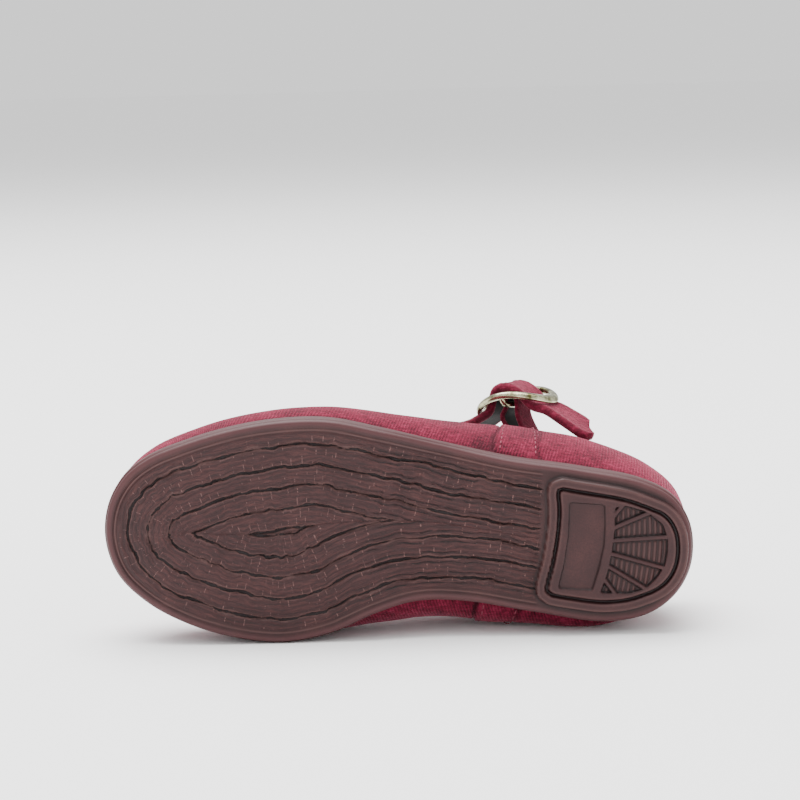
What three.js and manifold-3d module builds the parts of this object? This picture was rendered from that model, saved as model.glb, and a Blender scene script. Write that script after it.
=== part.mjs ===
// A child's left mary jane shoe, lying on its inner side with the tread facing -Y and the toe towards -X.
// It is drawn standing, x from heel to toe, y towards the outer side, z up from the ground, in millimetres,
// and then turned as a whole onto the face that it rests on.

import * as THREE from "three";
import { ConvexHull } from "three/addons/math/ConvexHull.js";
import { mergeVertices } from "three/addons/utils/BufferGeometryUtils.js";
import Module from "manifold-3d";

const wasm = await Module();
wasm.setup();

// Driving dimensions
const SOLE_LENGTH = 172;
const BALL_WIDTH = 64.7;
const WAIST_WIDTH = 42.2;
const HEEL_WIDTH = 44.2;
const SOLE_THICKNESS = 8.2;
const HEEL_RISE = 2.8;
const TOE_SPRING = 6.5;
const ARCH_RISE = 1.2;
const WALL_FLARE = 1.3;
const WALL_STEP = 0.6;
const GROOVE_PITCH = 6.1;
const GROOVE_WIDTH = 1.3;
const GROOVE_DEPTH = 1.3;
const HEEL_BLOCK_LENGTH = 43;
const HEEL_BLOCK_HEIGHT = 2.2;
const HEEL_BLOCK_INSET = 2.2;
const HEEL_BORDER = 3.2;
const HEEL_GROOVE_WIDTH = 1.2;
const HEEL_RELIEF = 1.1;
const HOLLOW_WALL = 2.6;
const HOLLOW_FLOOR = 4.6;
const SPOKE_WIDTH = 1.3;
const COLLAR_HEIGHT = 50;
const INSTEP_HEIGHT = 62;
const SWELL = 8;
const UPPER_WALL = 2;
const INSOLE_THICKNESS = 3;
const BINDING_WIDTH = 2.6;
const STRAP_WIDTH = 12.2;
const STRAP_THICKNESS = 2.7;
const TAB_THICKNESS = 1.5;
const TAB_WIDTH = 9;
const BUCKLE_LENGTH = 27;
const BUCKLE_WIDTH = 20.8;
const BUCKLE_RIM = 2.7;
const BUCKLE_THICKNESS = 2.2;
const BUCKLE_DOME = 4.5;
const BAR_DIAMETER = 1.8;
const BAR_DROP = 2.4;
const PRONG_DIAMETER = 1.3;
const CLEARANCE = 0.3;

// Facets
const ROUND_STEPS = 76;
const RIB_STEPS = 9;
const LINING_STEPS = 6;
const BLOCK_RING_STEPS = 45;
const HOLLOW_SKIP = 3;
const ROLL_SIDES = 8;
const ROD_SIDES = 8;

const AROUND = 2 * Math.PI;
const vec = (x, y, z) => new THREE.Vector3(x, y, z);

// Rows of values under named columns
const table = (columns, rows) => rows.map(
  row => Object.fromEntries(columns.map((name, i) => [name, row[i]])));

// Solids from rings, and booleans

const smooth = (from, to, x) => THREE.MathUtils.smoothstep(x, from, to);

function solidOf(points, faces) {
  const geometry = new THREE.BufferGeometry();
  const values = points.flatMap(p => [p.x, p.y, p.z]);
  geometry.setAttribute("position", new THREE.Float32BufferAttribute(values, 3));
  geometry.setIndex(faces.flat());
  return geometry;
}

// Closed skin over a list of closed rings with as many points each. The last ring joins the first, or the
// two end rings are capped, straight across or from side to side.
function skin(rings, { cap = "none" } = {}) {
  const count = rings[0].length;
  const faces = [];
  const last = cap === "none" ? rings.length : rings.length - 1;
  for (let r = 0; r < last; r++) {
    const low = r * count;
    const high = ((r + 1) % rings.length) * count;
    for (let i = 0; i < count; i++) {
      const j = (i + 1) % count;
      faces.push([low + i, low + j, high + j], [low + i, high + j, high + i]);
    }
  }
  if (cap !== "none") {
    const top = (rings.length - 1) * count;
    const ladder = [];
    for (let i = 0; i < count / 2; i++) {
      const [a, b, c, d] = [i, i + 1, count - i - 1, (count - i) % count];
      if (b !== c) ladder.push([a, b, c]);
      if (a !== d) ladder.push([a, c, d]);
    }
    for (const [a, b, c] of ladder) {
      faces.push([c, b, a], [top + a, top + b, top + c]);
    }
  }
  return outward(solidOf(rings.flat(), faces));
}

function signedVolume(geometry) {
  const p = geometry.getAttribute("position");
  const index = geometry.index.array;
  const [a, b, c] = [vec(0, 0, 0), vec(0, 0, 0), vec(0, 0, 0)];
  let volume = 0;
  for (let i = 0; i < index.length; i += 3) {
    a.fromBufferAttribute(p, index[i]);
    b.fromBufferAttribute(p, index[i + 1]);
    c.fromBufferAttribute(p, index[i + 2]);
    volume += a.dot(b.cross(c)) / 6;
  }
  return volume;
}

function outward(geometry) {
  if (signedVolume(geometry) < 0) {
    const index = geometry.index.array;
    for (let i = 0; i < index.length; i += 3) {
      [index[i + 1], index[i + 2]] = [index[i + 2], index[i + 1]];
    }
  }
  return geometry;
}

function toManifold(geometry) {
  const bare = geometry.clone();
  bare.deleteAttribute("normal");
  bare.deleteAttribute("uv");
  const merged = mergeVertices(bare, 1e-5);
  return new wasm.Manifold(new wasm.Mesh({
    numProp: 3,
    vertProperties: new Float32Array(merged.getAttribute("position").array),
    triVerts: new Uint32Array(merged.index.array),
  }));
}

function toGeometry(solid) {
  const mesh = solid.getMesh();
  const geometry = new THREE.BufferGeometry();
  geometry.setAttribute("position", new THREE.BufferAttribute(new Float32Array(mesh.vertProperties), 3));
  geometry.setIndex(new THREE.BufferAttribute(new Uint32Array(mesh.triVerts), 1));
  return geometry;
}

// Outline of the tread, from the heel's back by the outer side to the toe and home by the inner side.
// along is a share of the sole's length, out a share of the width named beside it.
const OUTLINE = [
  { along: 0.003, out: 0.0, of: HEEL_WIDTH },
  { along: 0.012, out: 0.164, of: HEEL_WIDTH },
  { along: 0.039, out: 0.31, of: HEEL_WIDTH },
  { along: 0.092, out: 0.407, of: HEEL_WIDTH },
  { along: 0.2, out: 0.472, of: HEEL_WIDTH },
  { along: 0.32, out: 0.543, of: WAIST_WIDTH },
  { along: 0.439, out: 0.409, of: BALL_WIDTH },
  { along: 0.539, out: 0.463, of: BALL_WIDTH },
  { along: 0.63, out: 0.499, of: BALL_WIDTH },
  { along: 0.714, out: 0.484, of: BALL_WIDTH },
  { along: 0.793, out: 0.438, of: BALL_WIDTH },
  { along: 0.868, out: 0.366, of: BALL_WIDTH },
  { along: 0.931, out: 0.284, of: BALL_WIDTH },
  { along: 0.97, out: 0.19, of: BALL_WIDTH },
  { along: 0.994, out: 0.055, of: BALL_WIDTH },
  { along: 0.996, out: -0.095, of: BALL_WIDTH },
  { along: 0.973, out: -0.242, of: BALL_WIDTH },
  { along: 0.922, out: -0.355, of: BALL_WIDTH },
  { along: 0.853, out: -0.436, of: BALL_WIDTH },
  { along: 0.771, out: -0.487, of: BALL_WIDTH },
  { along: 0.689, out: -0.499, of: BALL_WIDTH },
  { along: 0.609, out: -0.445, of: BALL_WIDTH },
  { along: 0.537, out: -0.349, of: BALL_WIDTH },
  { along: 0.469, out: -0.444, of: WAIST_WIDTH },
  { along: 0.379, out: -0.43, of: WAIST_WIDTH },
  { along: 0.263, out: -0.461, of: HEEL_WIDTH },
  { along: 0.14, out: -0.507, of: HEEL_WIDTH },
  { along: 0.07, out: -0.445, of: HEEL_WIDTH },
  { along: 0.03, out: -0.325, of: HEEL_WIDTH },
  { along: 0.008, out: -0.168, of: HEEL_WIDTH },
];

const outline = new THREE.CatmullRomCurve3(
  OUTLINE.map(row => vec(row.along * SOLE_LENGTH, row.out * row.of, 0)), true, "centripetal");
outline.arcLengthDivisions = 1500;

// Point of the tread's edge, round being the share of the way round it, and the way out of the sole there.
function edge(round) {
  const share = ((round % 1) + 1) % 1;
  const tangent = outline.getTangentAt(share);
  return { at: outline.getPointAt(share), out: vec(-tangent.y, tangent.x, 0).normalize() };
}

const rounds = Array.from({ length: ROUND_STEPS }, (_, i) => i / ROUND_STEPS);

// Heights along the sole
const SPRING_START = 0.76 * SOLE_LENGTH;
const BALL_START = 0.56 * SOLE_LENGTH;
const WAIST_START = 0.3 * SOLE_LENGTH;
const WAIST_MIDDLE = 0.42 * SOLE_LENGTH;

function springHeight(x) {
  const share = Math.max(0, (x - SPRING_START) / (SOLE_LENGTH - SPRING_START));
  return TOE_SPRING * share * share;
}

function treadHeight(x) {
  const arch = smooth(WAIST_START, WAIST_MIDDLE, x) * (1 - smooth(WAIST_MIDDLE, BALL_START, x));
  const ledge = HEEL_BLOCK_HEIGHT * (1 - smooth(WAIST_MIDDLE, BALL_START, x));
  return ledge + ARCH_RISE * arch + springHeight(x);
}

function seatHeight(x) {
  return SOLE_THICKNESS + HEEL_RISE * (1 - smooth(WAIST_START, BALL_START, x)) + springHeight(x);
}

// Ring round the sole at a distance outside the tread's edge, at the height that the function gives.
function soleRing(outset, height) {
  return rounds.map(round => {
    const { at, out } = edge(round);
    const point = at.clone().addScaledVector(out, outset);
    point.z = height(at.x);
    return point;
  });
}

function mix(from, to, share) {
  return x => THREE.MathUtils.lerp(from(x), to(x), share);
}

// The seat is flat as far out as the insole reaches, inside the upper's wall.
const INSOLE_INSET = UPPER_WALL + 3 * CLEARANCE;

// Side wall of the sole, up from the tread: how far out, and how high between tread and seat
const WALL = [
  { outset: 0, rise: 0 },
  { outset: 0.55 * WALL_FLARE, rise: 0.09 },
  { outset: 0.55 * WALL_FLARE + 0.01, rise: 0.2 },
  { outset: WALL_FLARE, rise: 0.24 },
  { outset: WALL_FLARE, rise: 0.72 },
  { outset: WALL_FLARE - WALL_STEP, rise: 0.78 },
  { outset: WALL_FLARE - WALL_STEP, rise: 0.97 },
  { outset: 0.2, rise: 1 },
];

// Curves that lie a distance inside the tread's edge: an edge point moved in stays only where no other
// part of the edge is nearer. Runs of points that stay are joined end to end.
const EDGE_STEPS = 240;
const INSET_TOLERANCE = 0.06;
const edgeSamples = Array.from({ length: EDGE_STEPS }, (_, i) => edge(i / EDGE_STEPS));

function distanceToEdge(point) {
  let least = Infinity;
  for (let i = 0; i < EDGE_STEPS; i++) {
    const a = edgeSamples[i].at;
    const b = edgeSamples[(i + 1) % EDGE_STEPS].at;
    const span = b.clone().sub(a);
    const share = THREE.MathUtils.clamp(point.clone().sub(a).dot(span) / span.lengthSq(), 0, 1);
    least = Math.min(least, point.distanceTo(a.clone().addScaledVector(span, share)));
  }
  return least;
}

const GROOVE_STEP = 5;
const GROOVE_START = HEEL_BLOCK_LENGTH + 1.5;

function insetRuns(distance) {
  const points = edgeSamples.map(({ at, out }) => {
    const moved = at.clone().addScaledVector(out, -distance);
    return moved.x > GROOVE_START && distanceToEdge(moved) > distance - INSET_TOLERANCE ? moved : null;
  });
  const first = points.findIndex((p, i) => !p && points[(i + 1) % EDGE_STEPS]);
  const runs = [];
  let run = [];
  for (let i = 1; i <= EDGE_STEPS; i++) {
    const point = points[(first + i) % EDGE_STEPS];
    if (point) run.push(point);
    if (!point && run.length) {
      runs.push(run);
      run = [];
    }
  }
  return runs.filter(found => found.length > 2);
}

// Runs whose ends nearly touch are one curve.
function joinRuns(runs) {
  const near = (a, b) => a.distanceTo(b) < GROOVE_PITCH / 2;
  const curves = [];
  for (const run of runs) {
    const before = curves.find(curve => near(curve[curve.length - 1], run[0]));
    if (before) before.push(...run);
    else curves.push([...run]);
  }
  return curves.map(curve => ({
    closed: near(curve[0], curve[curve.length - 1]),
    points: new THREE.CatmullRomCurve3(curve, false, "centripetal"),
  }));
}

// Upright wall along a flat curve, from one height function to another
function fence(points, closed, width, low, high) {
  const rings = [];
  const count = points.length;
  for (let i = 0; i < count; i++) {
    const before = closed ? points[(i + count - 1) % count] : points[Math.max(i - 1, 0)];
    const after = closed ? points[(i + 1) % count] : points[Math.min(i + 1, count - 1)];
    const tangent = after.clone().sub(before).setZ(0).normalize();
    const side = vec(-tangent.y, tangent.x, 0);
    const at = points[i];
    const corner = (outset, z) => vec(at.x + side.x * outset, at.y + side.y * outset, z);
    rings.push([
      corner(-width / 2, low(at.x)), corner(width / 2, low(at.x)),
      corner(width / 2, high(at.x)), corner(-width / 2, high(at.x)),
    ]);
  }
  return skin(rings, { cap: closed ? "none" : "across" });
}

function grooves() {
  const cuts = [];
  const below = x => treadHeight(x) - 1;
  const roof = x => treadHeight(x) + GROOVE_DEPTH;
  for (let distance = GROOVE_PITCH; distance < BALL_WIDTH / 2; distance += GROOVE_PITCH) {
    for (const { closed, points } of joinRuns(insetRuns(distance))) {
      const steps = Math.max(3, Math.round(points.getLength() / GROOVE_STEP));
      const spaced = points.getSpacedPoints(steps);
      if (closed) spaced.pop();
      cuts.push(toManifold(fence(spaced, closed, GROOVE_WIDTH, below, roof)));
    }
  }
  return cuts;
}

// Heel block. Its front edge runs from the outer to the inner side; along is a share of the block's length,
// out a share of the heel's width.
const BLOCK_FRONT = [
  { along: 0.94, out: 0.425 },
  { along: 0.988, out: 0.397 },
  { along: 1.004, out: 0.335 },
  { along: 0.991, out: 0.22 },
  { along: 0.991, out: 0.1 },
  { along: 1.001, out: -0.02 },
  { along: 1.018, out: -0.14 },
  { along: 1.04, out: -0.24 },
  { along: 1.049, out: -0.31 },
  { along: 1.03, out: -0.375 },
  { along: 0.965, out: -0.42 },
];
const BLOCK_SIDES = { outer: 0.122, inner: 0.885 };
const BLOCK_STEPS = 26;
const BLOCK_BACK_INSET = 0.4;

function blockPoint(row) {
  return vec(row.along * HEEL_BLOCK_LENGTH, row.out * HEEL_WIDTH, 0);
}

// Ring of the block's edge, moved in by an inset that is slighter at the back
function blockRing(inset) {
  const points = [];
  const span = BLOCK_SIDES.outer + 1 - BLOCK_SIDES.inner;
  for (let i = 0; i <= BLOCK_STEPS; i++) {
    const { at, out } = edge(BLOCK_SIDES.inner + span * i / BLOCK_STEPS);
    const back = smooth(0, 0.3 * HEEL_BLOCK_LENGTH, at.x);
    const deep = THREE.MathUtils.lerp(BLOCK_BACK_INSET, HEEL_BLOCK_INSET, back);
    points.push(at.clone().addScaledVector(out, -deep));
  }
  const front = new THREE.CatmullRomCurve3(BLOCK_FRONT.map(blockPoint), false, "centripetal");
  points.push(...front.getPoints(2 * BLOCK_FRONT.length));
  const whole = new THREE.CatmullRomCurve3(points, true, "centripetal");
  const ring = whole.getSpacedPoints(BLOCK_RING_STEPS).slice(1);
  return ring.map((at, i) => {
    const before = ring[(i + BLOCK_RING_STEPS - 1) % BLOCK_RING_STEPS];
    const tangent = ring[(i + 1) % BLOCK_RING_STEPS].clone().sub(before).normalize();
    return at.clone().addScaledVector(vec(tangent.y, -tangent.x, 0), inset);
  });
}

function plate(ring, low, high) {
  const shape = new THREE.Shape(ring.map(p => new THREE.Vector2(p.x, p.y)));
  const geometry = new THREE.ExtrudeGeometry(shape, { depth: high - low, bevelEnabled: false });
  geometry.translate(0, 0, low);
  return toManifold(geometry);
}

// Recessed panel and fan of the heel, corner by corner in the block's shares
const PANEL = [
  { along: 0.855, out: 0.277 },
  { along: 0.609, out: 0.27 },
  { along: 0.598, out: 0.14 },
  { along: 0.599, out: 0.0 },
  { along: 0.62, out: -0.135 },
  { along: 0.664, out: -0.31 },
  { along: 0.9, out: -0.306 },
  { along: 0.868, out: -0.14 },
  { along: 0.849, out: 0.044 },
  { along: 0.85, out: 0.19 },
];
const FAN = [
  { along: 0.54, out: 0.255 },
  { along: 0.481, out: 0.271 },
  { along: 0.325, out: 0.236 },
  { along: 0.209, out: 0.156 },
  { along: 0.17, out: 0.059 },
  { along: 0.166, out: -0.025 },
  { along: 0.179, out: -0.119 },
  { along: 0.228, out: -0.204 },
  { along: 0.302, out: -0.283 },
  { along: 0.412, out: -0.321 },
  { along: 0.61, out: -0.325 },
  { along: 0.568, out: -0.19 },
  { along: 0.545, out: -0.05 },
  { along: 0.533, out: 0.12 },
];
const SPOKES = [
  { from: { along: 0.55, out: 0.19 }, to: { along: 0.465, out: 0.3 } },
  { from: { along: 0.55, out: 0.112 }, to: { along: 0.29, out: 0.235 } },
  { from: { along: 0.55, out: 0.03 }, to: { along: 0.14, out: 0.075 } },
  { from: { along: 0.56, out: -0.055 }, to: { along: 0.15, out: -0.147 } },
  { from: { along: 0.57, out: -0.14 }, to: { along: 0.27, out: -0.3 } },
  { from: { along: 0.6, out: -0.215 }, to: { along: 0.48, out: -0.36 } },
];

const PANEL_DEPTH = 0.8;

function heelRelief() {
  const below = () => -HEEL_RELIEF;
  const groove = fence(blockRing(HEEL_BORDER), true, HEEL_GROOVE_WIDTH, below, () => HEEL_RELIEF);
  const spokes = SPOKES.map(({ from, to }) => toManifold(fence(
    [blockPoint(from), blockPoint(to)], false, SPOKE_WIDTH, () => -2 * HEEL_RELIEF, () => 2 * HEEL_RELIEF)));
  const whole = plate(FAN.map(blockPoint), -HEEL_RELIEF, HEEL_RELIEF);
  const fan = spokes.reduce((left, spoke) => left.subtract(spoke), whole);
  const panel = plate(PANEL.map(blockPoint), -HEEL_RELIEF, PANEL_DEPTH);
  return [toManifold(groove), fan, panel];
}

// Hollow of the heel, open under the insole
function heelHollow() {
  const ring = blockRing(HOLLOW_WALL).filter((_, i) => i % HOLLOW_SKIP === 0);
  return plate(ring, HOLLOW_FLOOR, 2 * SOLE_THICKNESS);
}

function makeOutsole() {
  const wall = WALL.map(row => soleRing(row.outset, mix(treadHeight, seatHeight, row.rise)));
  const seat = soleRing(-INSOLE_INSET, seatHeight);
  let solid = toManifold(skin([...wall, seat], { cap: "across" }));
  for (const groove of grooves()) solid = solid.subtract(groove);
  solid = solid.add(plate(blockRing(0), 0, HEEL_BLOCK_HEIGHT + 1));
  for (const cut of [...heelRelief(), heelHollow()]) solid = solid.subtract(cut);
  return toGeometry(solid);
}

// Upper. Each rib leaves the feather edge, swells out and runs in to the collar. A row holds the collar's
// point (along of the sole's length, out of the ball's width, up of the collar's height), the first handle
// (swell of SWELL outwards, rise of the rib's height) and the second (reach back towards the feather edge,
// full of SWELL outwards, drop of the rib's height).
const RIBS = table(["round", "along", "out", "up", "swell", "rise", "reach", "full", "drop"], [
  [0.0, 0.02, 0.0, 1.0, 0.4, 0.35, 0.4, 0.3, 0.35],
  [0.04, 0.04, 0.17, 0.975, 0.6, 0.34, 0.3, 0.4, 0.35],
  [0.085, 0.105, 0.3, 0.905, 0.98, 0.33, 0.2, 0.55, 0.36],
  [0.13, 0.205, 0.385, 0.835, 1.08, 0.33, 0.15, 0.6, 0.36],
  [0.19, 0.35, 0.422, 0.785, 1.0, 0.33, 0.15, 0.55, 0.36],
  [0.25, 0.468, 0.415, 0.76, 0.98, 0.34, 0.22, 0.5, 0.33],
  [0.31, 0.555, 0.355, 0.765, 0.93, 0.42, 0.42, 0.34, 0.16],
  [0.37, 0.608, 0.26, 0.775, 1.0, 0.54, 0.55, 0.24, 0.04],
  [0.43, 0.636, 0.125, 0.785, 1.02, 0.66, 0.6, 0.14, 0.0],
  [0.5, 0.643, -0.01, 0.79, 0.6, 0.76, 0.62, 0.02, 0.0],
  [0.565, 0.632, -0.14, 0.785, 0.8, 0.66, 0.6, 0.12, 0.0],
  [0.62, 0.606, -0.245, 0.775, 0.86, 0.54, 0.56, 0.2, 0.06],
  [0.675, 0.56, -0.325, 0.768, 0.66, 0.44, 0.48, 0.28, 0.14],
  [0.702, 0.526, -0.352, 0.769, 1.12, 0.34, 0.36, 0.38, 0.22],
  [0.73, 0.49, -0.372, 0.772, 1.66, 0.25, 0.25, 0.42, 0.3],
  [0.79, 0.385, -0.39, 0.79, 1.78, 0.08, 0.1, 0.3, 0.46],
  [0.85, 0.265, -0.38, 0.822, 1.72, 0.0, 0.12, 0.2, 0.54],
  [0.905, 0.15, -0.33, 0.875, 1.36, 0.0, 0.15, 0.12, 0.54],
  [0.955, 0.05, -0.2, 0.965, 0.6, 0.3, 0.3, 0.42, 0.35],
]);

// Value of a column between its rows, round the shoe without a kink
function column(rows, name, round) {
  const count = rows.length;
  const share = ((round % 1) + 1) % 1;
  let k = rows.findLastIndex(row => row.round <= share);
  const at = i => rows[((i % count) + count) % count][name];
  const place = i => rows[((i % count) + count) % count].round + Math.floor(i / count);
  const span = place(k + 1) - place(k);
  const t = (share - place(k)) / span;
  const slope = i => (at(i + 1) - at(i - 1)) / (place(i + 1) - place(i - 1)) * span;
  const [p, q, m, n] = [at(k), at(k + 1), slope(k), slope(k + 1)];
  return p + t * (m + t * (3 * (q - p) - 2 * m - n + t * (2 * (p - q) + m + n)));
}

const FEATHER_INSET = 0.2;

function rib(round) {
  const value = name => column(RIBS, name, round);
  const { at, out } = edge(round);
  const foot = at.clone().addScaledVector(out, -FEATHER_INSET).setZ(seatHeight(at.x) + CLEARANCE);
  const collar = vec(value("along") * SOLE_LENGTH, value("out") * BALL_WIDTH, value("up") * COLLAR_HEIGHT);
  const height = collar.z - foot.z;
  const low = foot.clone().addScaledVector(out, value("swell") * SWELL);
  low.z += value("rise") * height;
  const high = collar.clone().lerp(foot.clone().setZ(collar.z), value("reach"));
  high.addScaledVector(out, value("full") * SWELL);
  high.z -= value("drop") * height;
  return new THREE.CubicBezierCurve3(foot, low, high, collar);
}

// Point of the upper, up being the share of the way from feather edge to collar, at a depth inside it
function upperPoint(round, up, depth = 0) {
  const small = 0.004;
  const at = rib(round).getPoint(up);
  const across = rib(round + small).getPoint(up).sub(rib(round - small).getPoint(up));
  const along = rib(round).getTangent(up);
  const normal = along.cross(across).normalize();
  return { at: at.addScaledVector(normal, -depth), normal, across: across.normalize() };
}

function upperRing(up, depth) {
  return rounds.map(round => upperPoint(round, up, depth).at);
}

function makeUpper() {
  const rings = [];
  for (let i = 0; i <= RIB_STEPS; i++) rings.push(upperRing(i / RIB_STEPS, 0));
  for (let i = LINING_STEPS; i >= 0; i--) rings.push(upperRing(i / LINING_STEPS, UPPER_WALL));
  return skin(rings);
}

function makeInsole() {
  const low = x => seatHeight(x) + CLEARANCE;
  const high = x => low(x) + INSOLE_THICKNESS;
  return skin([
    soleRing(-INSOLE_INSET, low),
    soleRing(-INSOLE_INSET, mix(low, high, 0.7)),
    soleRing(-INSOLE_INSET - 0.3 * INSOLE_THICKNESS, high),
  ], { cap: "across" });
}

// Rolled edge that sits on the collar's rim, a little wider than it is high
const BINDING_SPREAD = 1.15;

function makeBinding() {
  const radius = BINDING_WIDTH / 2;
  const rings = rounds.map(round => {
    const { at, normal } = upperPoint(round, 1, UPPER_WALL / 2);
    const rise = rib(round).getTangent(1);
    const centre = at.addScaledVector(rise, radius + CLEARANCE);
    return Array.from({ length: ROLL_SIDES }, (_, k) => {
      const angle = AROUND * (k + 0.5) / ROLL_SIDES;
      return centre.clone()
        .addScaledVector(normal, radius * BINDING_SPREAD * Math.cos(angle))
        .addScaledVector(rise, radius * Math.sin(angle));
    });
  });
  return skin(rings);
}

// Buckle. Its own axes: x down the strap towards the heel, y across the strap, z out of the shoe.
const BUCKLE_AT = { along: 0.297, out: 0.54, up: 0.815 };
const BUCKLE_TURN = THREE.MathUtils.degToRad(13);
const BUCKLE_LEAN = THREE.MathUtils.degToRad(7);
const BUCKLE_PITCH = THREE.MathUtils.degToRad(30);

function buckleFrame() {
  const out = vec(Math.sin(BUCKLE_TURN) * Math.cos(BUCKLE_LEAN),
    Math.cos(BUCKLE_TURN) * Math.cos(BUCKLE_LEAN), Math.sin(BUCKLE_LEAN));
  const back = vec(-Math.cos(BUCKLE_TURN), Math.sin(BUCKLE_TURN), 0);
  const upward = out.clone().cross(back);
  const down = back.multiplyScalar(Math.cos(BUCKLE_PITCH)).addScaledVector(upward, -Math.sin(BUCKLE_PITCH));
  const across = out.clone().cross(down);
  const { along, out: aside, up } = BUCKLE_AT;
  const centre = vec(along * SOLE_LENGTH, aside * BALL_WIDTH, up * INSTEP_HEIGHT);
  return new THREE.Matrix4().makeBasis(down, across, out).setPosition(centre);
}

const buckle = buckleFrame();
const onBuckle = (x, y, z) => vec(x, y, z).applyMatrix4(buckle);
const buckleSide = vec(0, 1, 0).transformDirection(buckle);

const rimHeight = x => BAR_DROP - BUCKLE_DOME * (2 * x / BUCKLE_LENGTH) ** 2;

function roundRod(points, radius, sides) {
  const shape = new THREE.Shape(Array.from({ length: sides }, (_, k) => new THREE.Vector2(
    radius * Math.cos(AROUND * k / sides), radius * Math.sin(AROUND * k / sides))));
  const path = new THREE.CatmullRomCurve3(points, false, "centripetal");
  const steps = Math.max(2, 4 * (points.length - 1));
  return new THREE.ExtrudeGeometry(shape, { steps, extrudePath: path, bevelEnabled: false });
}

function makeBuckleFrame() {
  const steps = 36;
  const section = [
    { across: 0.5, out: 0.1 }, { across: 0.22, out: 0.5 }, { across: -0.25, out: 0.42 },
    { across: -0.5, out: 0.0 }, { across: -0.35, out: -0.5 }, { across: 0.35, out: -0.5 },
  ];
  const rings = Array.from({ length: steps }, (_, i) => {
    const angle = AROUND * i / steps;
    const way = vec(Math.cos(angle), Math.sin(angle), 0);
    const middle = vec(
      (BUCKLE_LENGTH - BUCKLE_RIM) / 2 * way.x, (BUCKLE_WIDTH - BUCKLE_RIM) / 2 * way.y, 0);
    return section.map(corner => {
      const point = middle.clone().addScaledVector(way, corner.across * BUCKLE_RIM);
      return onBuckle(point.x, point.y, rimHeight(point.x) + corner.out * BUCKLE_THICKNESS);
    });
  });
  const reach = (BUCKLE_WIDTH - BUCKLE_RIM) / 2;
  const barPoints = [-1, -0.88, 0.88, 1].map(
    share => onBuckle(0, share * reach, Math.abs(share) === 1 ? BAR_DROP : 0));
  const bar = roundRod(barPoints, BAR_DIAMETER / 2, ROD_SIDES);
  return toGeometry(toManifold(skin(rings)).add(toManifold(bar)));
}

// Flat band through stations that give its middle, the way across it and how wide it is there
function band(stations, width, thickness, steps) {
  const middles = new THREE.CatmullRomCurve3(stations.map(s => s.at), false, "centripetal");
  const sides = new THREE.CatmullRomCurve3(stations.map(s => s.side), false, "catmullrom");
  const knots = stations.length - 1;
  const share = (name, t) => {
    const k = Math.min(Math.floor(t * knots), knots - 1);
    return THREE.MathUtils.lerp(stations[k][name] ?? 1, stations[k + 1][name] ?? 1, t * knots - k);
  };
  const corners = [
    { across: 0.5, out: 0 }, { across: 0.42, out: 0.5 }, { across: -0.42, out: 0.5 },
    { across: -0.5, out: 0 }, { across: -0.42, out: -0.5 }, { across: 0.42, out: -0.5 },
  ];
  const rings = Array.from({ length: steps + 1 }, (_, i) => {
    const t = i / steps;
    const tangent = middles.getTangent(t);
    const out = tangent.clone().cross(sides.getPoint(t)).normalize();
    const side = out.clone().cross(tangent).normalize();
    return corners.map(corner => middles.getPoint(t)
      .addScaledVector(side, corner.across * width * share("wide", t))
      .addScaledVector(out, corner.out * thickness));
  });
  return skin(rings, { cap: "across" });
}

// The prong turns on the bar beside the tab's loop, and the strap passes over both and under the rim.
const prongCentre = (BAR_DIAMETER + PRONG_DIAMETER) / 2 + CLEARANCE;
const tabLoop = (BAR_DIAMETER + TAB_THICKNESS) / 2 + 1.5 * CLEARANCE;
const strapOverBar = tabLoop + (TAB_THICKNESS + STRAP_THICKNESS) / 2 + CLEARANCE;
const HUMP_SPREAD = 1.15;
const HUMP_BACK = 1.5;
const HUMP_RISE = 0.4;
const strapUnderRim = x => rimHeight(x) - (BUCKLE_THICKNESS + STRAP_THICKNESS) / 2 - 2.5 * CLEARANCE;

// Strap over the instep: along of the sole's length, out of the ball's width, up of the instep's height,
// lean being how far its width turns from the shoe's length towards its height
const INSTEP = [
  { along: 0.379, out: -0.317, up: 0.685, lean: 0.15 },
  { along: 0.4, out: -0.263, up: 0.803, lean: 0.1 },
  { along: 0.417, out: -0.162, up: 0.916, lean: 0.05 },
  { along: 0.431, out: -0.015, up: 0.994, lean: 0.0 },
  { along: 0.433, out: 0.139, up: 1.029, lean: 0.08 },
  { along: 0.426, out: 0.27, up: 1.026, lean: 0.3 },
  { along: 0.406, out: 0.365, up: 0.994, lean: 0.7 },
];
const STRAP_ANCHOR = [
  { round: 0.835, up: 0.55 },
  { round: 0.82, up: 0.78 },
  { round: 0.805, up: 0.98 },
];

// Free tail past the buckle's rim: how far down the strap and how far in, in shares of its length
const TAIL_LENGTH = 10.8;
const TAIL = [
  { down: 0.35, fall: 0.27, wide: 1 },
  { down: 0.75, fall: 0.6, wide: 1 },
  { down: 1.0, fall: 0.82, wide: 0.5 },
];

// Depth at which a band of some thickness clears the binding on the collar's rim
const bandDepth = thickness => (UPPER_WALL + BINDING_SPREAD * BINDING_WIDTH + thickness) / 2 + 4 * CLEARANCE;

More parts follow.
